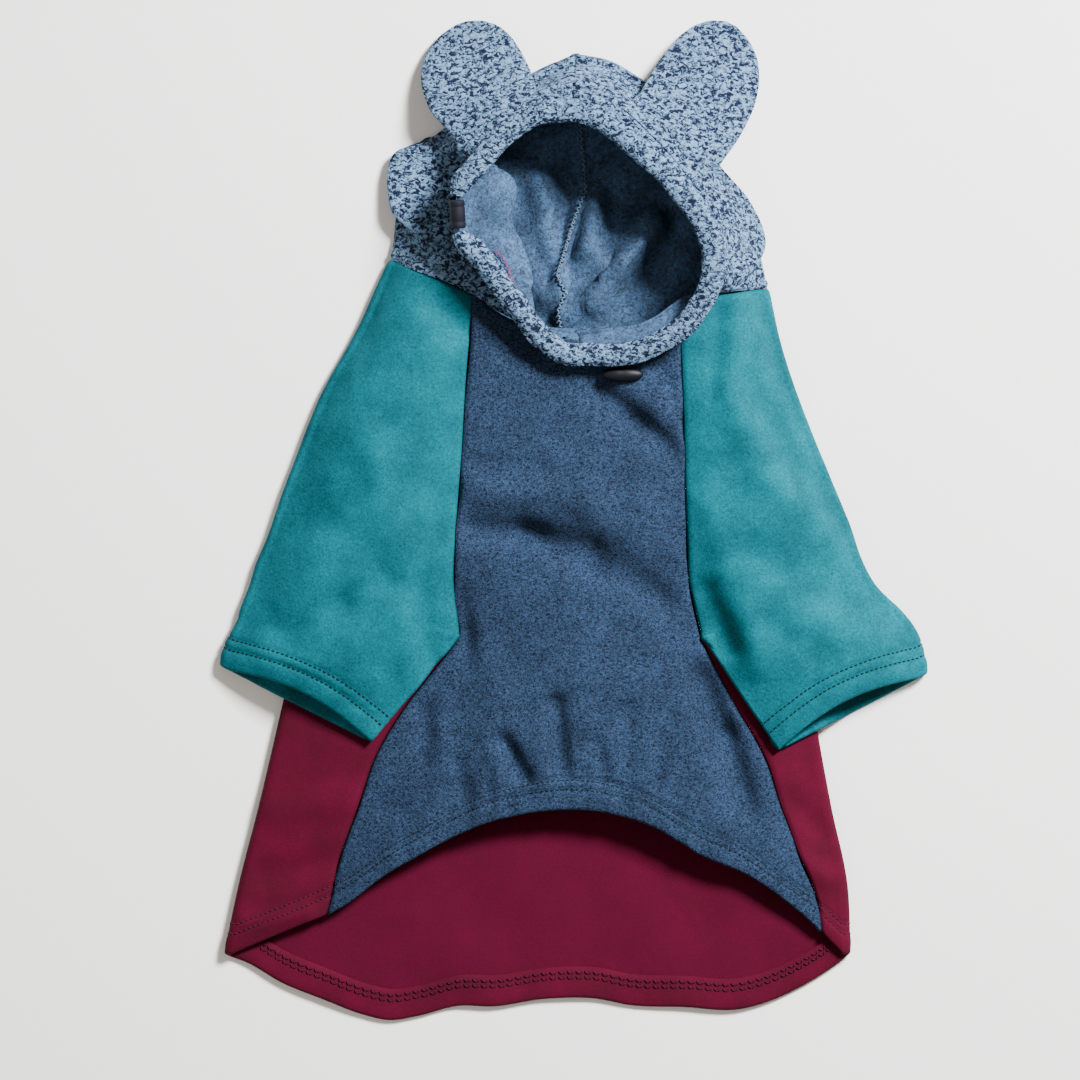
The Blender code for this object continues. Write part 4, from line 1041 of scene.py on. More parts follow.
def make_belly():
    across = np.sin(np.linspace(-1, 1, 113) * 0.9) / math.sin(0.9)
    rows = [[belly_point(s, t, 0.0) for s in across] for t in spaced(0.285, ROW_STEP)]
    grid = grid_of(rows)
    normal = normals_of(grid, -1)
    bare = grid.copy()
    far = travel(grid, 0)
    above = far[-1][None, :] - far
    middle = np.clip(1.15 - np.abs(across) ** 3 * 1.1, 0.0, 1.0)[None, :]
    pleat = unevenness(np.stack((bare[..., 0], bare[..., 1] * 0.15, bare[..., 2] * 0), axis=-1), 0.0085, 3.1)
    fine = unevenness(np.stack((bare[..., 0], bare[..., 1] * 0.3, bare[..., 2] * 0), axis=-1), 0.0035, 9.4)
    rise = 0.0026 * pleat * np.exp(-((above - 0.012) / 0.020) ** 2) * middle
    rise += 0.0010 * fine * np.exp(-((above - 0.008) / 0.010) ** 2) * middle
    band = 1 / (1 + np.exp((above - HEM_DEPTH) / 0.0008))
    rise += 0.0009 * band * np.exp(-((above - 0.008) / 0.011) ** 4)
    rise -= 0.0018 * np.exp(-((above - HEM_DEPTH) / 0.0012) ** 2)
    rise -= 0.0016 * np.exp(-((above - HEM_DEPTH + 0.006) / 0.0012) ** 2)
    rise += strokes_height(bare, BELLY_STROKES, 1.15) * np.clip(1 - np.abs(across) ** 10, 0, 1)[None, :]
    grid = grid + normal * rise[..., None]
    normal = normals_of(grid, -1)
    grid = lie_of_cloth(grid, normal, 0.0006, 0.00012, 1.7)
    for edge in ("first_column", "last_column"):
        grid = dip_edge(grid, normal, edge)
    normal = normals_of(grid, -1)
    rows = [line_at(grid, normal, "last_row", d) for d in (HEM_DEPTH, HEM_DEPTH - 0.006)]
    grid = turned_hem(grid, normal, HEM_DEPTH - 0.002)
    panel = cloth("belly_cloth", [grid], False, HEATHER, HEATHER_INSIDE)
    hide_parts("belly_panel", "belly_hem")
    stitches("belly_hem_stitches", rows, THREAD_DARK)
    return panel


def eased_joint(upper, lower, shared, reach=9, times=40):
    """The sleeve's two grids with the step between them eased over some rows."""
    whole = np.concatenate((upper, lower[1:, :shared]))
    joint = len(upper) - 1
    for _ in range(times):
        rows = slice(joint - reach, joint + reach)
        before = whole[joint - reach - 1:joint + reach - 1]
        after = whole[joint - reach + 1:joint + reach + 1]
        whole[rows] = (before + 2 * whole[rows] + after) / 4
    columns = np.arange(shared)
    keep = np.clip(np.minimum(columns, shared - 1 - columns) / 12, 0, 1)[None, :, None]
    lower = lower.copy()
    lower[:, :shared] += (whole[joint:] - lower[:, :shared]) * keep
    return upper + (whole[:joint + 1] - upper) * keep, lower


def make_sleeve(side, name, strokes):
    top = 62
    upper = [sleeve_section(side, t, top, False) for t in spaced(ARMPIT_DROP, ROW_STEP)]
    lower = [sleeve_section(side, t, top, True) for t in 1 + spaced(UNDERARM, ROW_STEP)]
    upper, lower = grid_of(upper), grid_of(lower)
    sign = 1 if side == LEFT else -1
    shared = upper.shape[1]
    upper[-1] = lower[0, :shared]
    upper, lower = eased_joint(upper, lower, shared)
    done = []
    for grid in (upper, lower):
        normal = normals_of(grid, sign)
        facing = np.clip(normal[..., 2] * 2.5 - 1.0, 0, 1) * np.clip((grid[..., 2] - 0.010) / 0.008, 0, 1)
        grid = grid + normal * (strokes_height(grid, strokes, 1.35) * facing)[..., None]
        grid = lie_of_cloth(grid, normals_of(grid, sign), 0.0005, 0.00010, 4.2 + side)
        done.append(grid)
    upper, lower = done
    upper[-1] = lower[0, :shared]
    for edge in ("first_row", "first_column", "last_column"):
        upper = dip_edge(upper, normals_of(upper, sign), edge)
    upper[-1] = lower[0, :shared] = (upper[-1] + lower[0, :shared]) / 2
    lower[:, -1] = lower[:, 0]
    hem = HEM_DEPTH
    normal = normals_of(lower, sign)
    places = ((hem, 0.0009, -0.0006), (hem - 0.0066, 0.0009, -0.0006), (hem - 0.0033, 0.002, 0.0004),
              (0.005, 0.005, 0.0010))
    lower = line_relief(lower, normal, "last_row", places)
    lower[:, -1] = lower[:, 0]
    normal = normals_of(lower, sign)
    rows = [line_at(lower, normal, "last_row", d) for d in (hem, hem - 0.0066)]
    lower = turned_hem(lower, normal, hem - 0.002)
    lower[:, -1] = lower[:, 0]
    panel = cloth(name + "_cloth", [upper, lower], side == LEFT, TEAL, TEAL_INSIDE)
    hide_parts(name)
    stitches(name + "_stitches", rows, THREAD_DARK)
    return panel


def back_rows():
    """Grids of the back panel: the part between the raglan seams, then the part below it."""
    first = [back_seam(side, 0.0) for side in (LEFT, RIGHT)]
    upper = []
    for along in spaced(0.125, ROW_STEP):
        ends = [back_seam(side, along) for side in (LEFT, RIGHT)]
        inwards = FOLD_RADIUS / 2 * ease((along - 0.7) / 0.3)
        ends[0][0] += inwards
        ends[1][0] -= inwards

        def upper_y(x, ends=ends, along=along):
            share = (x - ends[0][0]) / (ends[1][0] - ends[0][0])
            at_nape = first[0][0] + (first[1][0] - first[0][0]) * share
            scoop = nape_y(at_nape) - chord_y(first[0], first[1], at_nape)
            return chord_y(ends[0], ends[1], x) + scoop * (1 - along) ** 2

        upper.append(floor_row(ends[0], ends[1], back_seam_lift(along), upper_y, 130))
    starts = [fold_start(side) for side in (LEFT, RIGHT)]
    corners = [hem_corner(side) for side in (LEFT, RIGHT)]
    lower = []
    shares = spaced(0.262, ROW_STEP)
    flaps = {side: flap_points(side, shares) for side in (LEFT, RIGHT)}
    for number, along in enumerate(shares):
        ends = []
        for side, start, corner in zip((LEFT, RIGHT), starts, corners):
            y = start[1] + (corner[1] - start[1]) * along
            ends.append((side * fold_half(side, y), y))

        def lower_y(x, ends=ends, along=along):
            share = (x - ends[0][0]) / (ends[1][0] - ends[0][0])
            at_hem = corners[0][0] + (corners[1][0] - corners[0][0]) * share
            tail = tail_hem_y(at_hem) - chord_y(corners[0], corners[1], at_hem)
            return chord_y(ends[0], ends[1], x) + tail * along**2

        floor = floor_row(ends[0], ends[1], FOLD_RADIUS, lower_y, 130)
        left = flaps[LEFT][number][:0:-1]
        right = flaps[RIGHT][number][1:]
        lower.append(left + floor + right)
    return upper, lower, len(flaps[LEFT][0]) - 1


def flap_points(side, shares, columns=26):
    """Rows of a flap from the fold's outermost line to the side seam."""
    start = fold_start(side)
    corner = hem_corner(side)
    end_y = belly_hem_y(side)
    rows = []
    for along in shares:
        edge_y = start[1] + (corner[1] - start[1]) * along
        seam_y = -ARMPIT_DROP + (end_y + ARMPIT_DROP) * along
        row = []
        for turn in (0.0, 22.5, 45.0, 67.5, 90.0):
            inwards = FOLD_RADIUS * (1 - math.cos(math.radians(turn)))
            x = side * (fold_half(side, edge_y) - inwards)
            row.append((x, edge_y, FOLD_RADIUS * (1 + math.sin(math.radians(turn)))))
        for k in range(1, columns):
            share = k / (columns - 1)
            y = edge_y + (seam_y - edge_y) * share
            outer = fold_half(side, edge_y) - FOLD_RADIUS
            inner = seam_half(side, seam_y)
            x = side * (outer + (inner - outer) * share)
            row.append((x, y, flap_top(side, x, y)))
        rows.append(row)
    return rows


def make_back():
    upper, lower, flap_columns = back_rows()
    upper, lower = grid_of(upper), grid_of(lower)
    inner = slice(flap_columns, lower.shape[1] - flap_columns)
    normal = normals_of(lower, 1)
    facing = np.clip(normal[..., 2] * 1.6, 0, 1)
    lower = lower + normal * (strokes_height(lower, FLAP_STROKES, 1.3) * facing)[..., None]
    normal = normals_of(lower, 1)
    waves = 0.0014 * (unevenness(lower, 0.045, 12.0) + 0.5)
    lift = np.where(normal[..., 2] < -0.5, waves, 0.0)
    lower[..., 2] += np.maximum(lift, 0.0)
    for edge in ("first_column", "last_column"):
        lower = dip_edge(lower, normal, edge)
    upper[-1] = lower[0, inner]
    normal = normals_of(lower, 1)
    hem = HEM_DEPTH
    places = ((hem, 0.0009, -0.0006), (hem - 0.0062, 0.0009, -0.0006), (0.006, 0.006, 0.0008))
    outside = line_relief(lower, normal, "last_row", places)
    lower = np.where((normal[..., 2] > 0.2)[..., None], outside, lower)
    normal = normals_of(lower, 1)
    rows = [line_at(lower, normal, "last_row", d) for d in (hem, hem - 0.0062)]
    lower = turned_hem(lower, normal, hem)
    lower[..., 2] = np.maximum(lower[..., 2], 0.0002)
    panel = cloth("back_cloth", [upper, lower], True, BURGUNDY, BURGUNDY_INSIDE)
    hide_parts("back_panel")
    stitches("back_hem_stitches", rows, THREAD_WINE)
    edge_line = lower[-2, flap_columns + 6:lower.shape[1] - flap_columns - 6]
    ups = np.tile(np.array((0.0, 0.0, 1.0)), (len(edge_line), 1))
    cover = []
    for inset in (-0.0006, 0.0026):
        line = edge_line.copy()
        line[:, 1] -= inset
        line[:, 2] += 0.0004
        cover.append((line, ups))
    stitches("back_hem_cover_seam", cover, THREAD_WINE, 0.00032, 0.0026, 0.0029, 0.75)
    return panel


HOOD_STROKES = (
    # folds that stand up on the inner face of the hood's back: from x, from y, to x, to y,
    # half width, height
    (0.007, 0.200, -0.002, 0.172, 4.0, 6.0),
    (-0.002, 0.172, -0.010, 0.146, 4.0, 7.0),
    (-0.010, 0.146, -0.008, 0.112, 4.0, 6.0),
    (-0.004, 0.121, 0.010, 0.129, 8.0, 13.0),
    (0.010, 0.129, 0.027, 0.149, 8.5, 17.0),
    (0.027, 0.149, 0.046, 0.175, 8.0, 19.0),
    (0.013, 0.190, 0.008, 0.160, 6.5, 12.0),
    (0.010, 0.158, 0.020, 0.153, 6.0, 5.0),
    (-0.020, 0.198, -0.013, 0.158, 8.5, 9.0),
    (-0.026, 0.160, -0.018, 0.130, 6.0, 4.0),
    (0.052, 0.130, 0.066, 0.150, 9.0, 5.0),
    (0.030, 0.205, 0.060, 0.190, 10.0, 4.0),
)
SEAM_WANDER = (
    # y, how far the centre seam lies to the side, in millimetres
    (0.085, 0.0),
    (0.112, -8.0),
    (0.127, -11.0),
    (0.146, -10.0),
    (0.172, -2.0),
    (0.195, 7.0),
    (0.230, 4.0),
    (0.262, 0.0),
)


FLOOR_COLUMNS = 30
HOOD_MIDDLE = (-0.013, 0.18)   # under the middle of the hood's mouth
NOSE_HEIGHT = 0.0027           # half the height of the crown's fold
RIM_TUCK = 0.0024              # how far the crown's edge goes up into the rolled rim


def hood_inside(grid, stations):
    """Folds and the wandering centre seam of the layer that lies on the floor."""
    flat = np.clip((0.012 - grid[..., 2]) / 0.008, 0, 1)
    columns = np.arange(grid.shape[1])
    flat = flat * (columns < FLOOR_COLUMNS)[None, :]
    places = [row[0] for row in SEAM_WANDER]
    aside = np.interp(grid[..., 1], places, [row[1] / 1000 for row in SEAM_WANDER])
    near = np.exp(-((stations / 2.2) ** 2))[:, None]
    grid = grid.copy()
    grid[..., 0] += aside * near * flat
    rise = np.max([strokes_height(grid, (stroke,)) for stroke in HOOD_STROKES], axis=0)
    rise += 0.0014 * (unevenness(grid, 0.026, 55.0) + 0.4) + 0.0005 * unevenness(grid, 0.009, 66.0)
    ends = np.clip(columns / 6, 0, 1)[None, :] * np.clip((FLOOR_COLUMNS - 3 - columns) / 7, 0, 1)[None, :]
    grid[..., 2] += np.maximum(rise, 0.0) * flat * ends
    return grid


def rounded(grid, first, last, times):
    """Grid whose fold between two columns is eased into a wider turn."""
    grid = grid.copy()
    for _ in range(times):
        middle = (grid[:, first - 1:last - 1] + 2 * grid[:, first:last] + grid[:, first + 1:last + 1]) / 4
        grid[:, first:last] = middle
    return grid


def level_point(side, station, level):
    """Point of the hood's outer face, straight between the solid's own rows round the crown's fold."""
    marks = (1.4, 2.0, 2.5, 3.0)
    if not marks[0] < level < marks[-1]:
        return hood_point(side, station, level)
    k = bisect.bisect_right(marks, level) - 1
    share = (level - marks[k]) / (marks[k + 1] - marks[k])
    near = hood_point(side, station, marks[k])
    return near + (hood_point(side, station, marks[k + 1]) - near) * share


def hood_grid(side):
    stations = np.linspace(0, 10, 131)
    levels = np.concatenate((np.linspace(0, 1.8, 30)[:-1], np.linspace(1.8, 2.6, 26)[:-1],
                             np.linspace(2.6, 4, 18)[:-1], np.linspace(4, 6, 34)))
    grid = grid_of([[level_point(side, s, level) for level in levels] for s in stations])
    return round_nose(rounded(grid, 28, 64, 9), stations)


def round_nose(grid, stations):
    """Makes the crown's fold as high as two walls of cloth, so that the inside doesn't show past it."""
    for row, station in zip(grid, stations):
        share = np.clip((4.2 - station) / 0.9, 0, 1)
        if share == 0:
            continue
        away = np.hypot(row[:, 0] - HOOD_MIDDLE[0], row[:, 1] - HOOD_MIDDLE[1])
        tip = 44 + int(np.argmax(away[44:60]))
        reach = np.hypot(row[:, 0] - row[tip, 0], row[:, 1] - row[tip, 1])
        rise = NOSE_HEIGHT * np.sqrt(np.clip(reach / 0.003, 0, 1))
        above = np.maximum(row[tip:, 2], NOSE_HEIGHT + rise[tip:])
        fade = np.clip(2 - reach[:tip] / 0.006, 0, 1)
        below = row[:tip, 2] + (np.minimum(row[:tip, 2], NOSE_HEIGHT - rise[:tip]) - row[:tip, 2]) * fade
        row[tip:, 2] += (above - row[tip:, 2]) * share
        row[:tip, 2] += (below - row[:tip, 2]) * share
    return grid


def make_hood(side, name):
    grid = hood_grid(side)
    sign = -1 if side == LEFT else 1
    normal = normals_of(grid, sign)
    places = ((0.0144, 0.0020, 0.0024), (0.0185, 0.0015, -0.0040), (0.0226, 0.0022, 0.0026),
              (0.0268, 0.0016, -0.0036), (0.0096, 0.0012, -0.0026))
    stations = np.linspace(0, 10, grid.shape[0])
    sewn = np.clip((4.2 - stations) / 0.6, 0, 1)[:, None, None]
    grid = grid * (1 - sewn) + line_relief(grid, normal, "last_column", places) * sewn
    cheek = np.clip(1 - np.abs(stations - 4.6) / 1.5, 0, 1)[:, None, None]
    band = line_relief(grid, normal, "first_column", ((0.006, 0.0012, -0.0009), (0.003, 0.002, 0.0005)))
    grid = grid * (1 - cheek) + band * cheek
    normal = normals_of(grid, sign)
    grid = lie_of_cloth(grid, normal, 0.0010, 0.00022, 21.0)
    grid = dip_edge(grid, normal, "first_column")
    grid = dip_edge(grid, normal, "first_row", 0.0010)
    grid[..., 2] = np.maximum(grid[..., 2], 0.0)
    grid = hood_inside(grid, stations)
    tucked = np.clip((np.arange(grid.shape[1]) - grid.shape[1] + 7) / 6, 0, 1)
    grid[..., 2] += RIM_TUCK * tucked * np.clip((4.2 - stations) / 0.6, 0, 1)[:, None]
    panel = cloth(name + "_cloth", [grid], side == RIGHT, SPECKLE, BRUSHED)
    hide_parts(name)
    return panel, grid


def top_of(grids, x, y):
    """Height of the highest cloth of the given grids near a place."""
    points = np.concatenate([grid.reshape(-1, 3) for grid in grids])
    near = np.hypot(points[:, 0] - x, points[:, 1] - y) < 0.0035
    return float(points[near, 2].max())


def hood_threads(left, right):
    """Pale overlock along the centre seam and a stray row of pink overlock on the left wall."""
    line = left[0, 3:28] + np.array((0.0, 0.0, CLOTH + 0.0009))
    ups = np.tile(np.array((0.0, 0.0, 1.0)), (len(line), 1))
    stitches("centre_seam_overlock", [(line, ups)], THREAD_PALE, 0.00055, 0.0017, 0.0030, 0.9)
    steps = np.linspace(0, 1, 40)
    way = np.array([[smooth((0, 1, 2, 3), PINK_ROW[:, k], 3 * t) for k in range(2)] for t in steps])
    heights = [top_of((left, right), x, y) for x, y in way]
    heights = np.convolve(np.pad(heights, 3, mode="edge"), np.ones(7) / 7, mode="valid")
    line = np.column_stack((way, heights + CLOTH + 0.0012))
    ups = np.tile(np.array((0.0, 0.0, 1.0)), (len(line), 1))
    stitches("pink_overlock", [(line, ups)], THREAD_PINK, 0.00040, 0.0021, 0.0032, 0.8)


PINK_ROW = np.array(((-0.0486, 0.160), (-0.041, 0.152), (-0.0365, 0.139), (-0.0280, 0.128)))


def make_rim():
    first, last = rim_gap()
    stops = [(LEFT, s) for s in np.linspace(last, 1, 120)]
    stops += [(RIGHT, s) for s in np.linspace(1, 0, 220)[1:]]
    stops += [(LEFT, s) for s in np.linspace(0, first, 90)[1:]]
    sides = 28
    work = bmesh.new()
    layer = work.loops.layers.uv.new("weave")
    rings, far = [], [0.0]
    for number, (side, share) in enumerate(stops):
        centre, out = rim_frame(side, share)
        centre = centre + SHIFT
        if number:
            far.append(far[-1] + np.linalg.norm(centre - before))
        before = centre
        place = number / (len(stops) - 1)
        mouth_end = min(place, 1 - place) * len(stops) * 0.0011
        neck_down = 1 - 0.45 * math.exp(-((mouth_end / 0.006) ** 2))
        ring = []
        for k in range(sides):
            angle = 2 * math.pi * k / sides
            pucker = noise.noise(Vector((far[-1] / 0.0042, math.cos(angle) * 0.9, math.sin(angle) * 0.9)))
            lump = noise.noise(Vector((far[-1] / 0.014, math.cos(angle) * 0.6 + 5, math.sin(angle) * 0.6)))
            inner_side = 0.5 - 0.5 * math.cos(angle)
            swell = 0.00055 * pucker * (0.35 + 0.65 * inner_side) + 0.0008 * lump
            wide = (RIM_WIDTH / 2 + swell) * math.cos(angle) * neck_down
            high = (RIM_THICKNESS / 2 + swell + 0.0004) * math.sin(angle) * neck_down
            groove = 0.0009 * math.exp(-(((angle - 0.55) / 0.14) ** 2))
            ring.append(work.verts.new(centre + out * (wide - groove * 0.3) + np.array((0, 0, high - groove))))
        rings.append(ring)
    girth = math.pi * (RIM_WIDTH + RIM_THICKNESS) / 2
    for r in range(len(rings) - 1):
        for k in range(sides):
            corners = ((r, k), (r, k + 1), (r + 1, k + 1), (r + 1, k))
            face = work.faces.new([rings[i][j % sides] for i, j in corners])
            for loop, (i, j) in zip(face.loops, corners):
                loop[layer].uv = (far[i], girth * j / sides)
    work.faces.new(rings[0][::-1])
    work.faces.new(rings[-1])
    bmesh.ops.recalc_face_normals(work, faces=work.faces)
    mesh = bpy.data.meshes.new("hood_rim")
    work.to_mesh(mesh)
    work.free()
    mesh.materials.append(SPECKLE)
    mesh.shade_smooth()
    piece = bpy.data.objects.new("rolled_rim", mesh)
    bpy.context.scene.collection.objects.link(piece)
    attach(piece, "root")
    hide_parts("hood_rim")
    return piece


def make_ear(side, name):
    """Ear of two layers sewn together at the outline, sewn to the hood at its base."""
    shape = EARS[side]
    first, last = shape["stations"]
    across = np.sin(np.linspace(-1, 1, 49) * math.pi / 2)
    axis = math.radians(shape["axis"])
    ahead = np.array((-math.sin(axis), math.cos(axis)))
    outwards = np.array((side * ahead[1], -side * ahead[0]))
    base = []
    for c in across:
        station = first + (last - first) * (c + 1) / 2
        point = hood_point(side, station, EAR_BASE_LEVEL)
        step = hood_point(side, station, EAR_BASE_LEVEL + 0.1) - point
        beside = hood_point(side, station + 0.1, EAR_BASE_LEVEL) - point
        normal = np.cross(step, beside) * side
        normal /= np.linalg.norm(normal)
        base.append(point + normal * 0.0004)
    base = np.array(base)
    middle = base.mean(axis=0)
    length = EAR_LENGTH * shape["length"]
    rest = EAR_THICKNESS / 2 + LAY_GAP
    alongs = 1 - np.cos(np.linspace(0, 1, 57) * math.pi / 2)
    alongs = np.sin(alongs * math.pi / 2)
    rows, halves = [], []
    for along in alongs:
        spread = ease(along / 0.3)
        height = rest + (middle[2] - rest) * (table(EAR_ROWS, 3, along) - 0.08) / 0.92
        row = []
        for number, c in enumerate(across):
            half = table(EAR_ROWS, 1 if c > 0 else 2, along) * EAR_WIDTH
            plan = middle[:2] + ahead * length * along + outwards * c * half
            here = base[number, :2] + ahead * length * along
            plan = here * (1 - spread) + plan * spread
            level = (base[number, 2] - middle[2]) * (1 - spread) + height
            row.append((plan[0], plan[1], level))
        rows.append(row)
        full = 0.22 + 0.78 * ease(along / 0.22)
        halves.append([EAR_THICKNESS / 2 * full * max(1 - abs(c) ** 5, 0.0) ** 0.5
                       * max(1 - along**9, 0.0) ** 0.5 for c in across])
    grid = grid_of(rows)
    halves = np.array(halves)
    normal = normals_of(grid, 1)
    normal[normal[..., 2] < 0] *= -1
    puff = halves * (1.12 + 0.2 * unevenness(grid, 0.02, 31.0 + side))
    puff[0] = -0.0008
    front = grid + normal * puff[..., None]
    back = grid - normal * np.minimum(halves, EAR_THICKNESS / 2)[..., None]
    front[..., 2] += 0.0002 * unevenness(front, 0.005, 40.0)
    back[..., 2] = np.maximum(back[..., 2], 0.0003)
    work = bmesh.new()
    layer = work.loops.layers.uv.new("weave")
    for grid, turned in ((front, side == LEFT), (back, side != LEFT)):
        wide, far = travel(grid, 1), travel(grid, 0)
        verts = [[work.verts.new(p) for p in row] for row in grid]
        for r in range(len(verts) - 1):
            for c in range(len(verts[0]) - 1):
                corners = ((r, c), (r, c + 1), (r + 1, c + 1), (r + 1, c))
                corners = corners if turned else corners[::-1]
                face = work.faces.new([verts[i][j] for i, j in corners])
                for loop, (i, j) in zip(face.loops, corners):
                    loop[layer].uv = (wide[i, j], far[i, j] + (0.1 if turned else 0.0))
    bmesh.ops.remove_doubles(work, verts=work.verts, dist=2e-5)
    open_edges = [edge for edge in work.edges if edge.is_boundary]
    bmesh.ops.contextual_create(work, geom=open_edges)
    bmesh.ops.recalc_face_normals(work, faces=work.faces)
    mesh = bpy.data.meshes.new(name)
    work.to_mesh(mesh)
    work.free()
    mesh.materials.append(SPECKLE)
    mesh.shade_smooth()
    piece = bpy.data.objects.new(name + "_cloth", mesh)
    bpy.context.scene.collection.objects.link(piece)
    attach(piece, "root")
    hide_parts(name)
    return piece


def lathe(name, profile, sides, matrix, material, node):
    """Turned plastic piece: radius and place along the axis of each ring."""
    work = bmesh.new()
    rings = []
    for radius, along in profile:
        rings.append([work.verts.new((radius * math.cos(2 * math.pi * k / sides),
                                      radius * math.sin(2 * math.pi * k / sides), along))
                      for k in range(sides)])
    for near, far in zip(rings, rings[1:]):
        for k in range(sides):
            work.faces.new((near[k - 1], near[k], far[k], far[k - 1]))
    work.faces.new(rings[0][::-1])
    work.faces.new(rings[-1])
    bmesh.ops.recalc_face_normals(work, faces=work.faces)
    bmesh.ops.transform(work, verts=work.verts, matrix=matrix)
    mesh = bpy.data.meshes.new(name)
    work.to_mesh(mesh)
    work.free()
    mesh.materials.append(material)
    mesh.shade_smooth()
    piece = bpy.data.objects.new(name, mesh)
    bpy.context.scene.collection.objects.link(piece)
    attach(piece, "root")
    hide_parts(node)
    return piece


def make_stops():
    """Barrel stop in the casing's gap and oval stop at the chin."""
    first, last = rim_gap()
    centre = (rim_point(LEFT, first) + rim_point(LEFT, last)) / 2
    centre[2] += (BARREL_WIDTH - RIM_THICKNESS) / 2
    ahead = rim_point(LEFT, last) - rim_point(LEFT, first)
    turn = Vector(ahead).to_track_quat("Z", "Y").to_matrix().to_4x4()
    half, r = BARREL_LENGTH / 2, BARREL_WIDTH / 2
    profile = ((0.30 * r, -0.90 * half), (0.34 * r, -half), (0.80 * r, -half), (0.95 * r, -0.95 * half),
               (r, -0.84 * half), (r, -0.62 * half), (0.93 * r, -0.56 * half), (0.93 * r, -0.50 * half),
               (r, -0.44 * half), (r, 0.44 * half), (0.93 * r, 0.50 * half), (0.93 * r, 0.56 * half),
               (r, 0.62 * half), (r, 0.84 * half), (0.95 * r, 0.95 * half), (0.80 * r, half),
               (0.34 * r, half), (0.30 * r, 0.90 * half))
    place = Matrix.Translation(Vector(centre + SHIFT)) @ turn
    lathe("barrel_stop", profile, 40, place, BLACK_MATT, "cord_stop_side")
    spot = Vector(chin_place() + SHIFT)
    profile = []
    for turn in range(0, 181, 9):
        angle = math.radians(turn)
        waist = 1 - 0.06 * math.exp(-((math.cos(angle) / 0.16) ** 2))
        profile.append((max(math.sin(angle), 0.02) * waist * 0.5, -0.5 * math.cos(angle)))
    size = Matrix.Diagonal((TOGGLE_THICKNESS, TOGGLE_WIDTH, TOGGLE_LENGTH, 1.0))
    lying = Matrix.Rotation(math.pi / 2, 4, "Y")
    place = Matrix.Translation(spot) @ lying @ size
    lathe("oval_stop", profile, 40, place, BLACK_GLOSS, "cord_stop_chin")


def add_node(tree, kind, inputs=None, **settings):
    """Shader node with its settings, its values and its links."""
    node = tree.nodes.new(kind)
    for key, value in settings.items():
        setattr(node, key, value)
    for key, value in (inputs or {}).items():
        if isinstance(value, bpy.types.NodeSocket):
            tree.links.new(value, node.inputs[key])
        else:
            node.inputs[key].default_value = value
    return node


def add_ramp(tree, factor, stops):
    """Colour ramp; stops are place and grey value or colour."""
    ramp = add_node(tree, "ShaderNodeValToRGB", {"Fac": factor})
    line = ramp.color_ramp
    line.elements[0].position, line.elements[1].position = stops[0][0], stops[-1][0]
    for place, _ in stops[1:-1]:
        line.elements.new(place)
    for element, (_, colour) in zip(sorted(line.elements, key=lambda e: e.position), stops):
        element.color = colour if len(colour) == 4 else (*colour, 1.0)
    return ramp.outputs["Color"]


def knit(name, dark, pale, flecks, cloud, fibre, roughness, bump, softness=0.12, middle=0.5,
         fine_share=0.3, sheen=0.0):
    """Knitted cloth: two yarn colours mixed in flecks, clouded, with a fibrous bump.

    flecks is the size of a fleck across and along the garment, in metres.
    """
    material = bpy.data.materials.new(name)
    material.use_nodes = True
    tree = material.node_tree
    shader = tree.nodes["Principled BSDF"]
    place = add_node(tree, "ShaderNodeTexCoord").outputs["Object"]
    scaled = add_node(tree, "ShaderNodeVectorMath",
                      {0: place, 1: (1 / flecks[0], 1 / flecks[1], 1 / flecks[1])},
                      operation="MULTIPLY").outputs["Vector"]
    spots = add_node(tree, "ShaderNodeTexNoise",
                     {"Vector": scaled, "Scale": 1.0, "Detail": 2.5, "Roughness": 0.6, "Distortion": 0.9})
    fine = add_node(tree, "ShaderNodeTexNoise",
                    {"Vector": place, "Scale": 1 / fibre, "Detail": 2.0, "Roughness": 0.65})
    wide = add_node(tree, "ShaderNodeTexNoise",
                    {"Vector": place, "Scale": 1 / 0.024, "Detail": 3.0, "Roughness": 0.55})
    mixed = add_node(tree, "ShaderNodeMix",
                     {0: fine_share, 2: spots.outputs["Fac"], 3: fine.outputs["Fac"]},
                     data_type="FLOAT").outputs[0]
    yarns = add_ramp(tree, mixed, ((middle - softness, dark), (middle + softness, pale)))
    low = 1 - cloud
    shade = add_ramp(tree, wide.outputs["Fac"], ((0.34, (low, low, low)), (0.66, (1.0, 1.0, 1.0))))
    colour = add_node(tree, "ShaderNodeMix", {0: 1.0, 6: yarns, 7: shade}, data_type="RGBA",
                      blend_type="MULTIPLY").outputs[2]
    tree.links.new(colour, shader.inputs["Base Color"])
    relief = add_node(tree, "ShaderNodeBump", {"Height": mixed, "Strength": bump[0], "Distance": bump[1]})
    tree.links.new(relief.outputs["Normal"], shader.inputs["Normal"])
    shader.inputs["Roughness"].default_value = roughness
    shader.inputs["Specular IOR Level"].default_value = 0.12
    shader.inputs["Sheen Weight"].default_value = sheen
    shader.inputs["Sheen Roughness"].default_value = 0.5
    return material


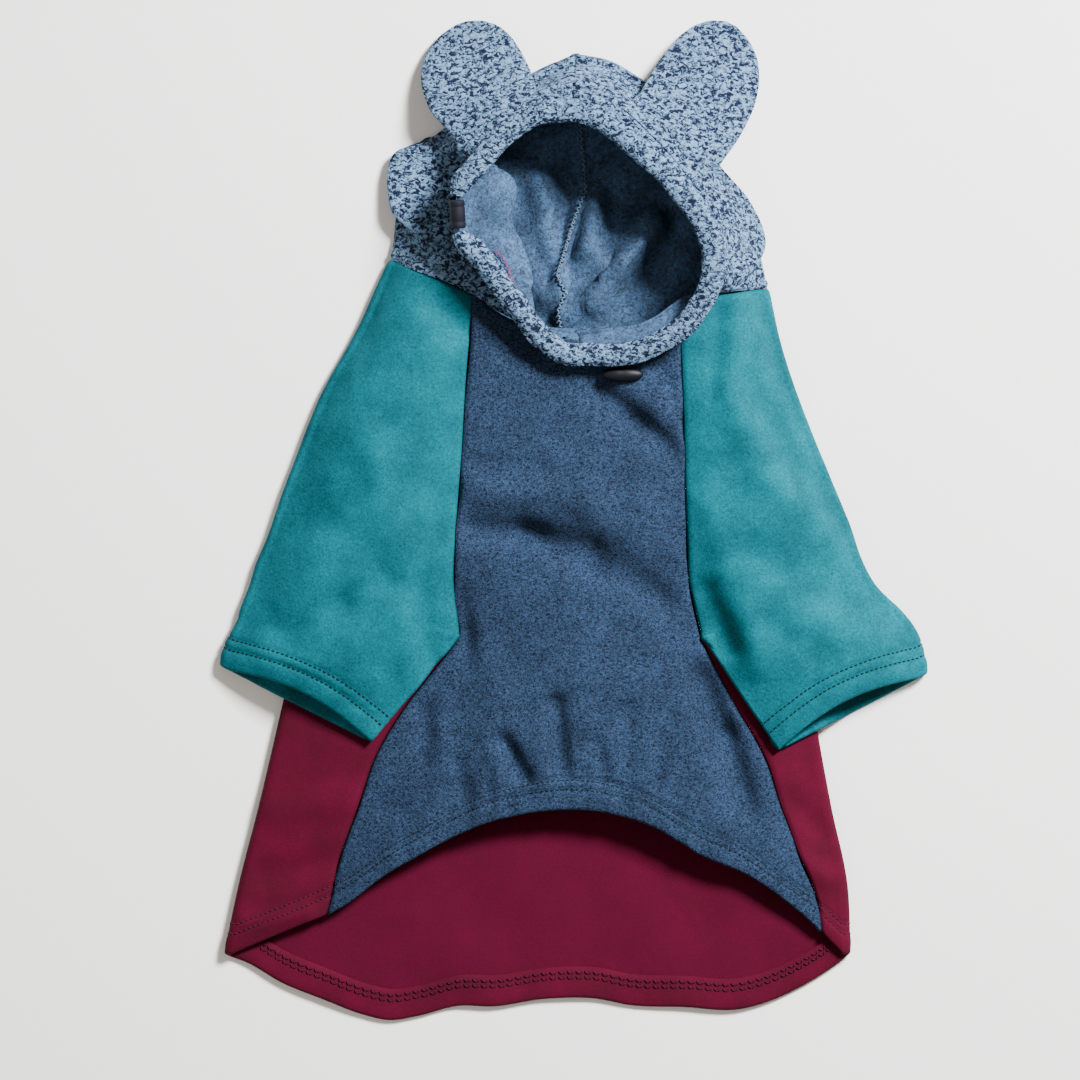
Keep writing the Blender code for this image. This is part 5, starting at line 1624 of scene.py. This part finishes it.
def plain(name, colour, roughness, grain=0.0):
    """Plastic or thread with a slight grain."""
    material = bpy.data.materials.new(name)
    material.use_nodes = True
    tree = material.node_tree
    shader = tree.nodes["Principled BSDF"]
    spots = add_node(tree, "ShaderNodeTexNoise", {"Scale": 900.0, "Detail": 2.0})
    darker = tuple(c * 0.75 for c in colour)
    tone = add_ramp(tree, spots.outputs["Fac"], ((0.35, darker), (0.65, colour)))
    tree.links.new(tone, shader.inputs["Base Color"])
    relief = add_node(tree, "ShaderNodeBump",
                      {"Height": spots.outputs["Fac"], "Strength": grain, "Distance": 0.0002})
    tree.links.new(relief.outputs["Normal"], shader.inputs["Normal"])
    shader.inputs["Roughness"].default_value = roughness
    shader.inputs["Specular IOR Level"].default_value = 0.2
    return material


def chin_place():
    """Middle of the oval stop in the plan's frame, as the solid has it."""
    chin = rim_point(RIGHT, 0.92)
    x = chin[0]
    y = chin[1] - RIM_WIDTH / 2 - LAY_GAP - TOGGLE_WIDTH / 2
    return np.array((x, y, body_top(x, y) + (LAY_GAP + TOGGLE_THICKNESS) / 2))


def make_stage():
    """Pale floor, soft studio light and the camera straight above."""
    mesh = bpy.data.meshes.new("floor")
    mesh.from_pydata([(-6, -6, 0), (6, -6, 0), (6, 6, 0), (-6, 6, 0)], [], [(0, 1, 2, 3)])
    material = bpy.data.materials.new("pale_floor")
    material.use_nodes = True
    shader = material.node_tree.nodes["Principled BSDF"]
    shader.inputs["Base Color"].default_value = (0.92, 0.92, 0.92, 1.0)
    shader.inputs["Roughness"].default_value = 0.9
    mesh.materials.append(material)
    floor = bpy.data.objects.new("floor", mesh)
    bpy.context.scene.collection.objects.link(floor)
    world = bpy.data.worlds.new("studio")
    world.use_nodes = True
    world.node_tree.nodes["Background"].inputs["Color"].default_value = (1.0, 0.88, 0.74, 1.0)
    world.node_tree.nodes["Background"].inputs["Strength"].default_value = WORLD_LIGHT
    bpy.context.scene.world = world
    for name, place, size, power in LIGHTS:
        lamp = bpy.data.lights.new(name, "AREA")
        lamp.energy = power
        lamp.size = size
        holder = bpy.data.objects.new(name, lamp)
        holder.location = place
        holder.rotation_mode = "QUATERNION"
        holder.rotation_quaternion = (-Vector(place)).to_track_quat("-Z", "Y")
        bpy.context.scene.collection.objects.link(holder)
    camera = bpy.data.cameras.new("camera")
    camera.sensor_width = 36.0
    camera.lens = 18.0 * CAMERA_HEIGHT / (PHOTO_WIDTH / 2)
    camera.clip_end = 50.0
    holder = bpy.data.objects.new("camera", camera)
    holder.location = (PHOTO_CENTRE[0], PHOTO_CENTRE[1], CAMERA_HEIGHT)
    bpy.context.scene.collection.objects.link(holder)
    bpy.context.scene.camera = holder


WORLD_LIGHT = 0.40
LIGHTS = (
    # name, place, size, power
    ("key", (1.26, 1.28, 1.70), 0.6, 262.0),
    ("fill", (-1.6, -0.6, 2.4), 1.8, 14.0),
)
CAMERA_HEIGHT = 6.0
PHOTO_WIDTH = 0.648
PHOTO_CENTRE = (-0.0204, -0.0138)

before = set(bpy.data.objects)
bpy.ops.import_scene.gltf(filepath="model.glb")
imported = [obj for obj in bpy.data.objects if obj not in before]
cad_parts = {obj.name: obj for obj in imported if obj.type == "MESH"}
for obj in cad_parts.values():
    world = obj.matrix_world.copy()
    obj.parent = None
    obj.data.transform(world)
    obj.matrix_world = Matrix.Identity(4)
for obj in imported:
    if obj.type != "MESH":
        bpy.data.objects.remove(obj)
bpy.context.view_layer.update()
low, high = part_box("cord_stop_chin")
SHIFT = np.array((low + high) / 2) - chin_place()

HEATHER = knit("heather", (0.0012, 0.003, 0.009), (0.027, 0.056, 0.118), (0.0015, 0.0012), 0.28, 0.0006,
               0.92, (0.7, 0.0009), 0.11, 0.505, 0.4)
HEATHER_INSIDE = knit("heather_inside", (0.01, 0.015, 0.03), (0.05, 0.08, 0.14), (0.0016, 0.0016), 0.1, 0.0008,
                      0.95, (0.5, 0.0008))
TEAL = knit("teal", (0.0, 0.054, 0.070), (0.0, 0.148, 0.192), (0.0014, 0.0014), 0.36, 0.0006,
            0.9, (0.5, 0.0006), 0.2)
TEAL_INSIDE = knit("teal_inside", (0.0, 0.07, 0.09), (0.0, 0.14, 0.17), (0.0016, 0.0016), 0.1, 0.0008,
                   0.95, (0.5, 0.0008), 0.2)
BURGUNDY = knit("burgundy", (0.044, 0.0, 0.007), (0.082, 0.0, 0.017), (0.0012, 0.0012), 0.28, 0.0006,
                0.88, (0.3, 0.0005), 0.25)
BURGUNDY_INSIDE = knit("burgundy_inside", (0.044, 0.0, 0.009), (0.073, 0.0, 0.016), (0.0013, 0.0013),
                       0.14, 0.0007, 0.92, (0.35, 0.0005), 0.25)
SPECKLE = knit("speckle", (0.005, 0.008, 0.024), (0.138, 0.242, 0.385), (0.0030, 0.0023), 0.15, 0.0009,
               0.95, (0.9, 0.0013), 0.06, 0.51, 0.25)
BRUSHED = knit("brushed", (0.024, 0.034, 0.052), (0.060, 0.132, 0.265), (0.0026, 0.0024), 0.5, 0.0010,
               0.97, (0.6, 0.0009), 0.12, 0.50, 0.4)
THREAD_DARK = plain("thread_dark", (0.002, 0.008, 0.013), 0.8)
THREAD_WINE = plain("thread_wine", (0.030, 0.002, 0.010), 0.7)
THREAD_PALE = plain("thread_pale", (0.085, 0.135, 0.205), 0.8)
THREAD_PINK = plain("thread_pink", (0.22, 0.02, 0.09), 0.7)
BLACK_MATT = plain("black_matt", (0.003, 0.004, 0.010), 0.75, 0.1)
BLACK_GLOSS = plain("black_gloss", (0.002, 0.003, 0.006), 0.5)

belly = make_belly()
back = make_back()
left_sleeve = make_sleeve(LEFT, "sleeve_left", LEFT_STROKES)
right_sleeve = make_sleeve(RIGHT, "sleeve_right", RIGHT_STROKES)
left_hood, left_grid = make_hood(LEFT, "hood_left")
right_hood, right_grid = make_hood(RIGHT, "hood_right")
hood_threads(left_grid, right_grid)
make_rim()
make_ear(LEFT, "ear_left")
make_ear(RIGHT, "ear_right")
make_stops()
make_stage()
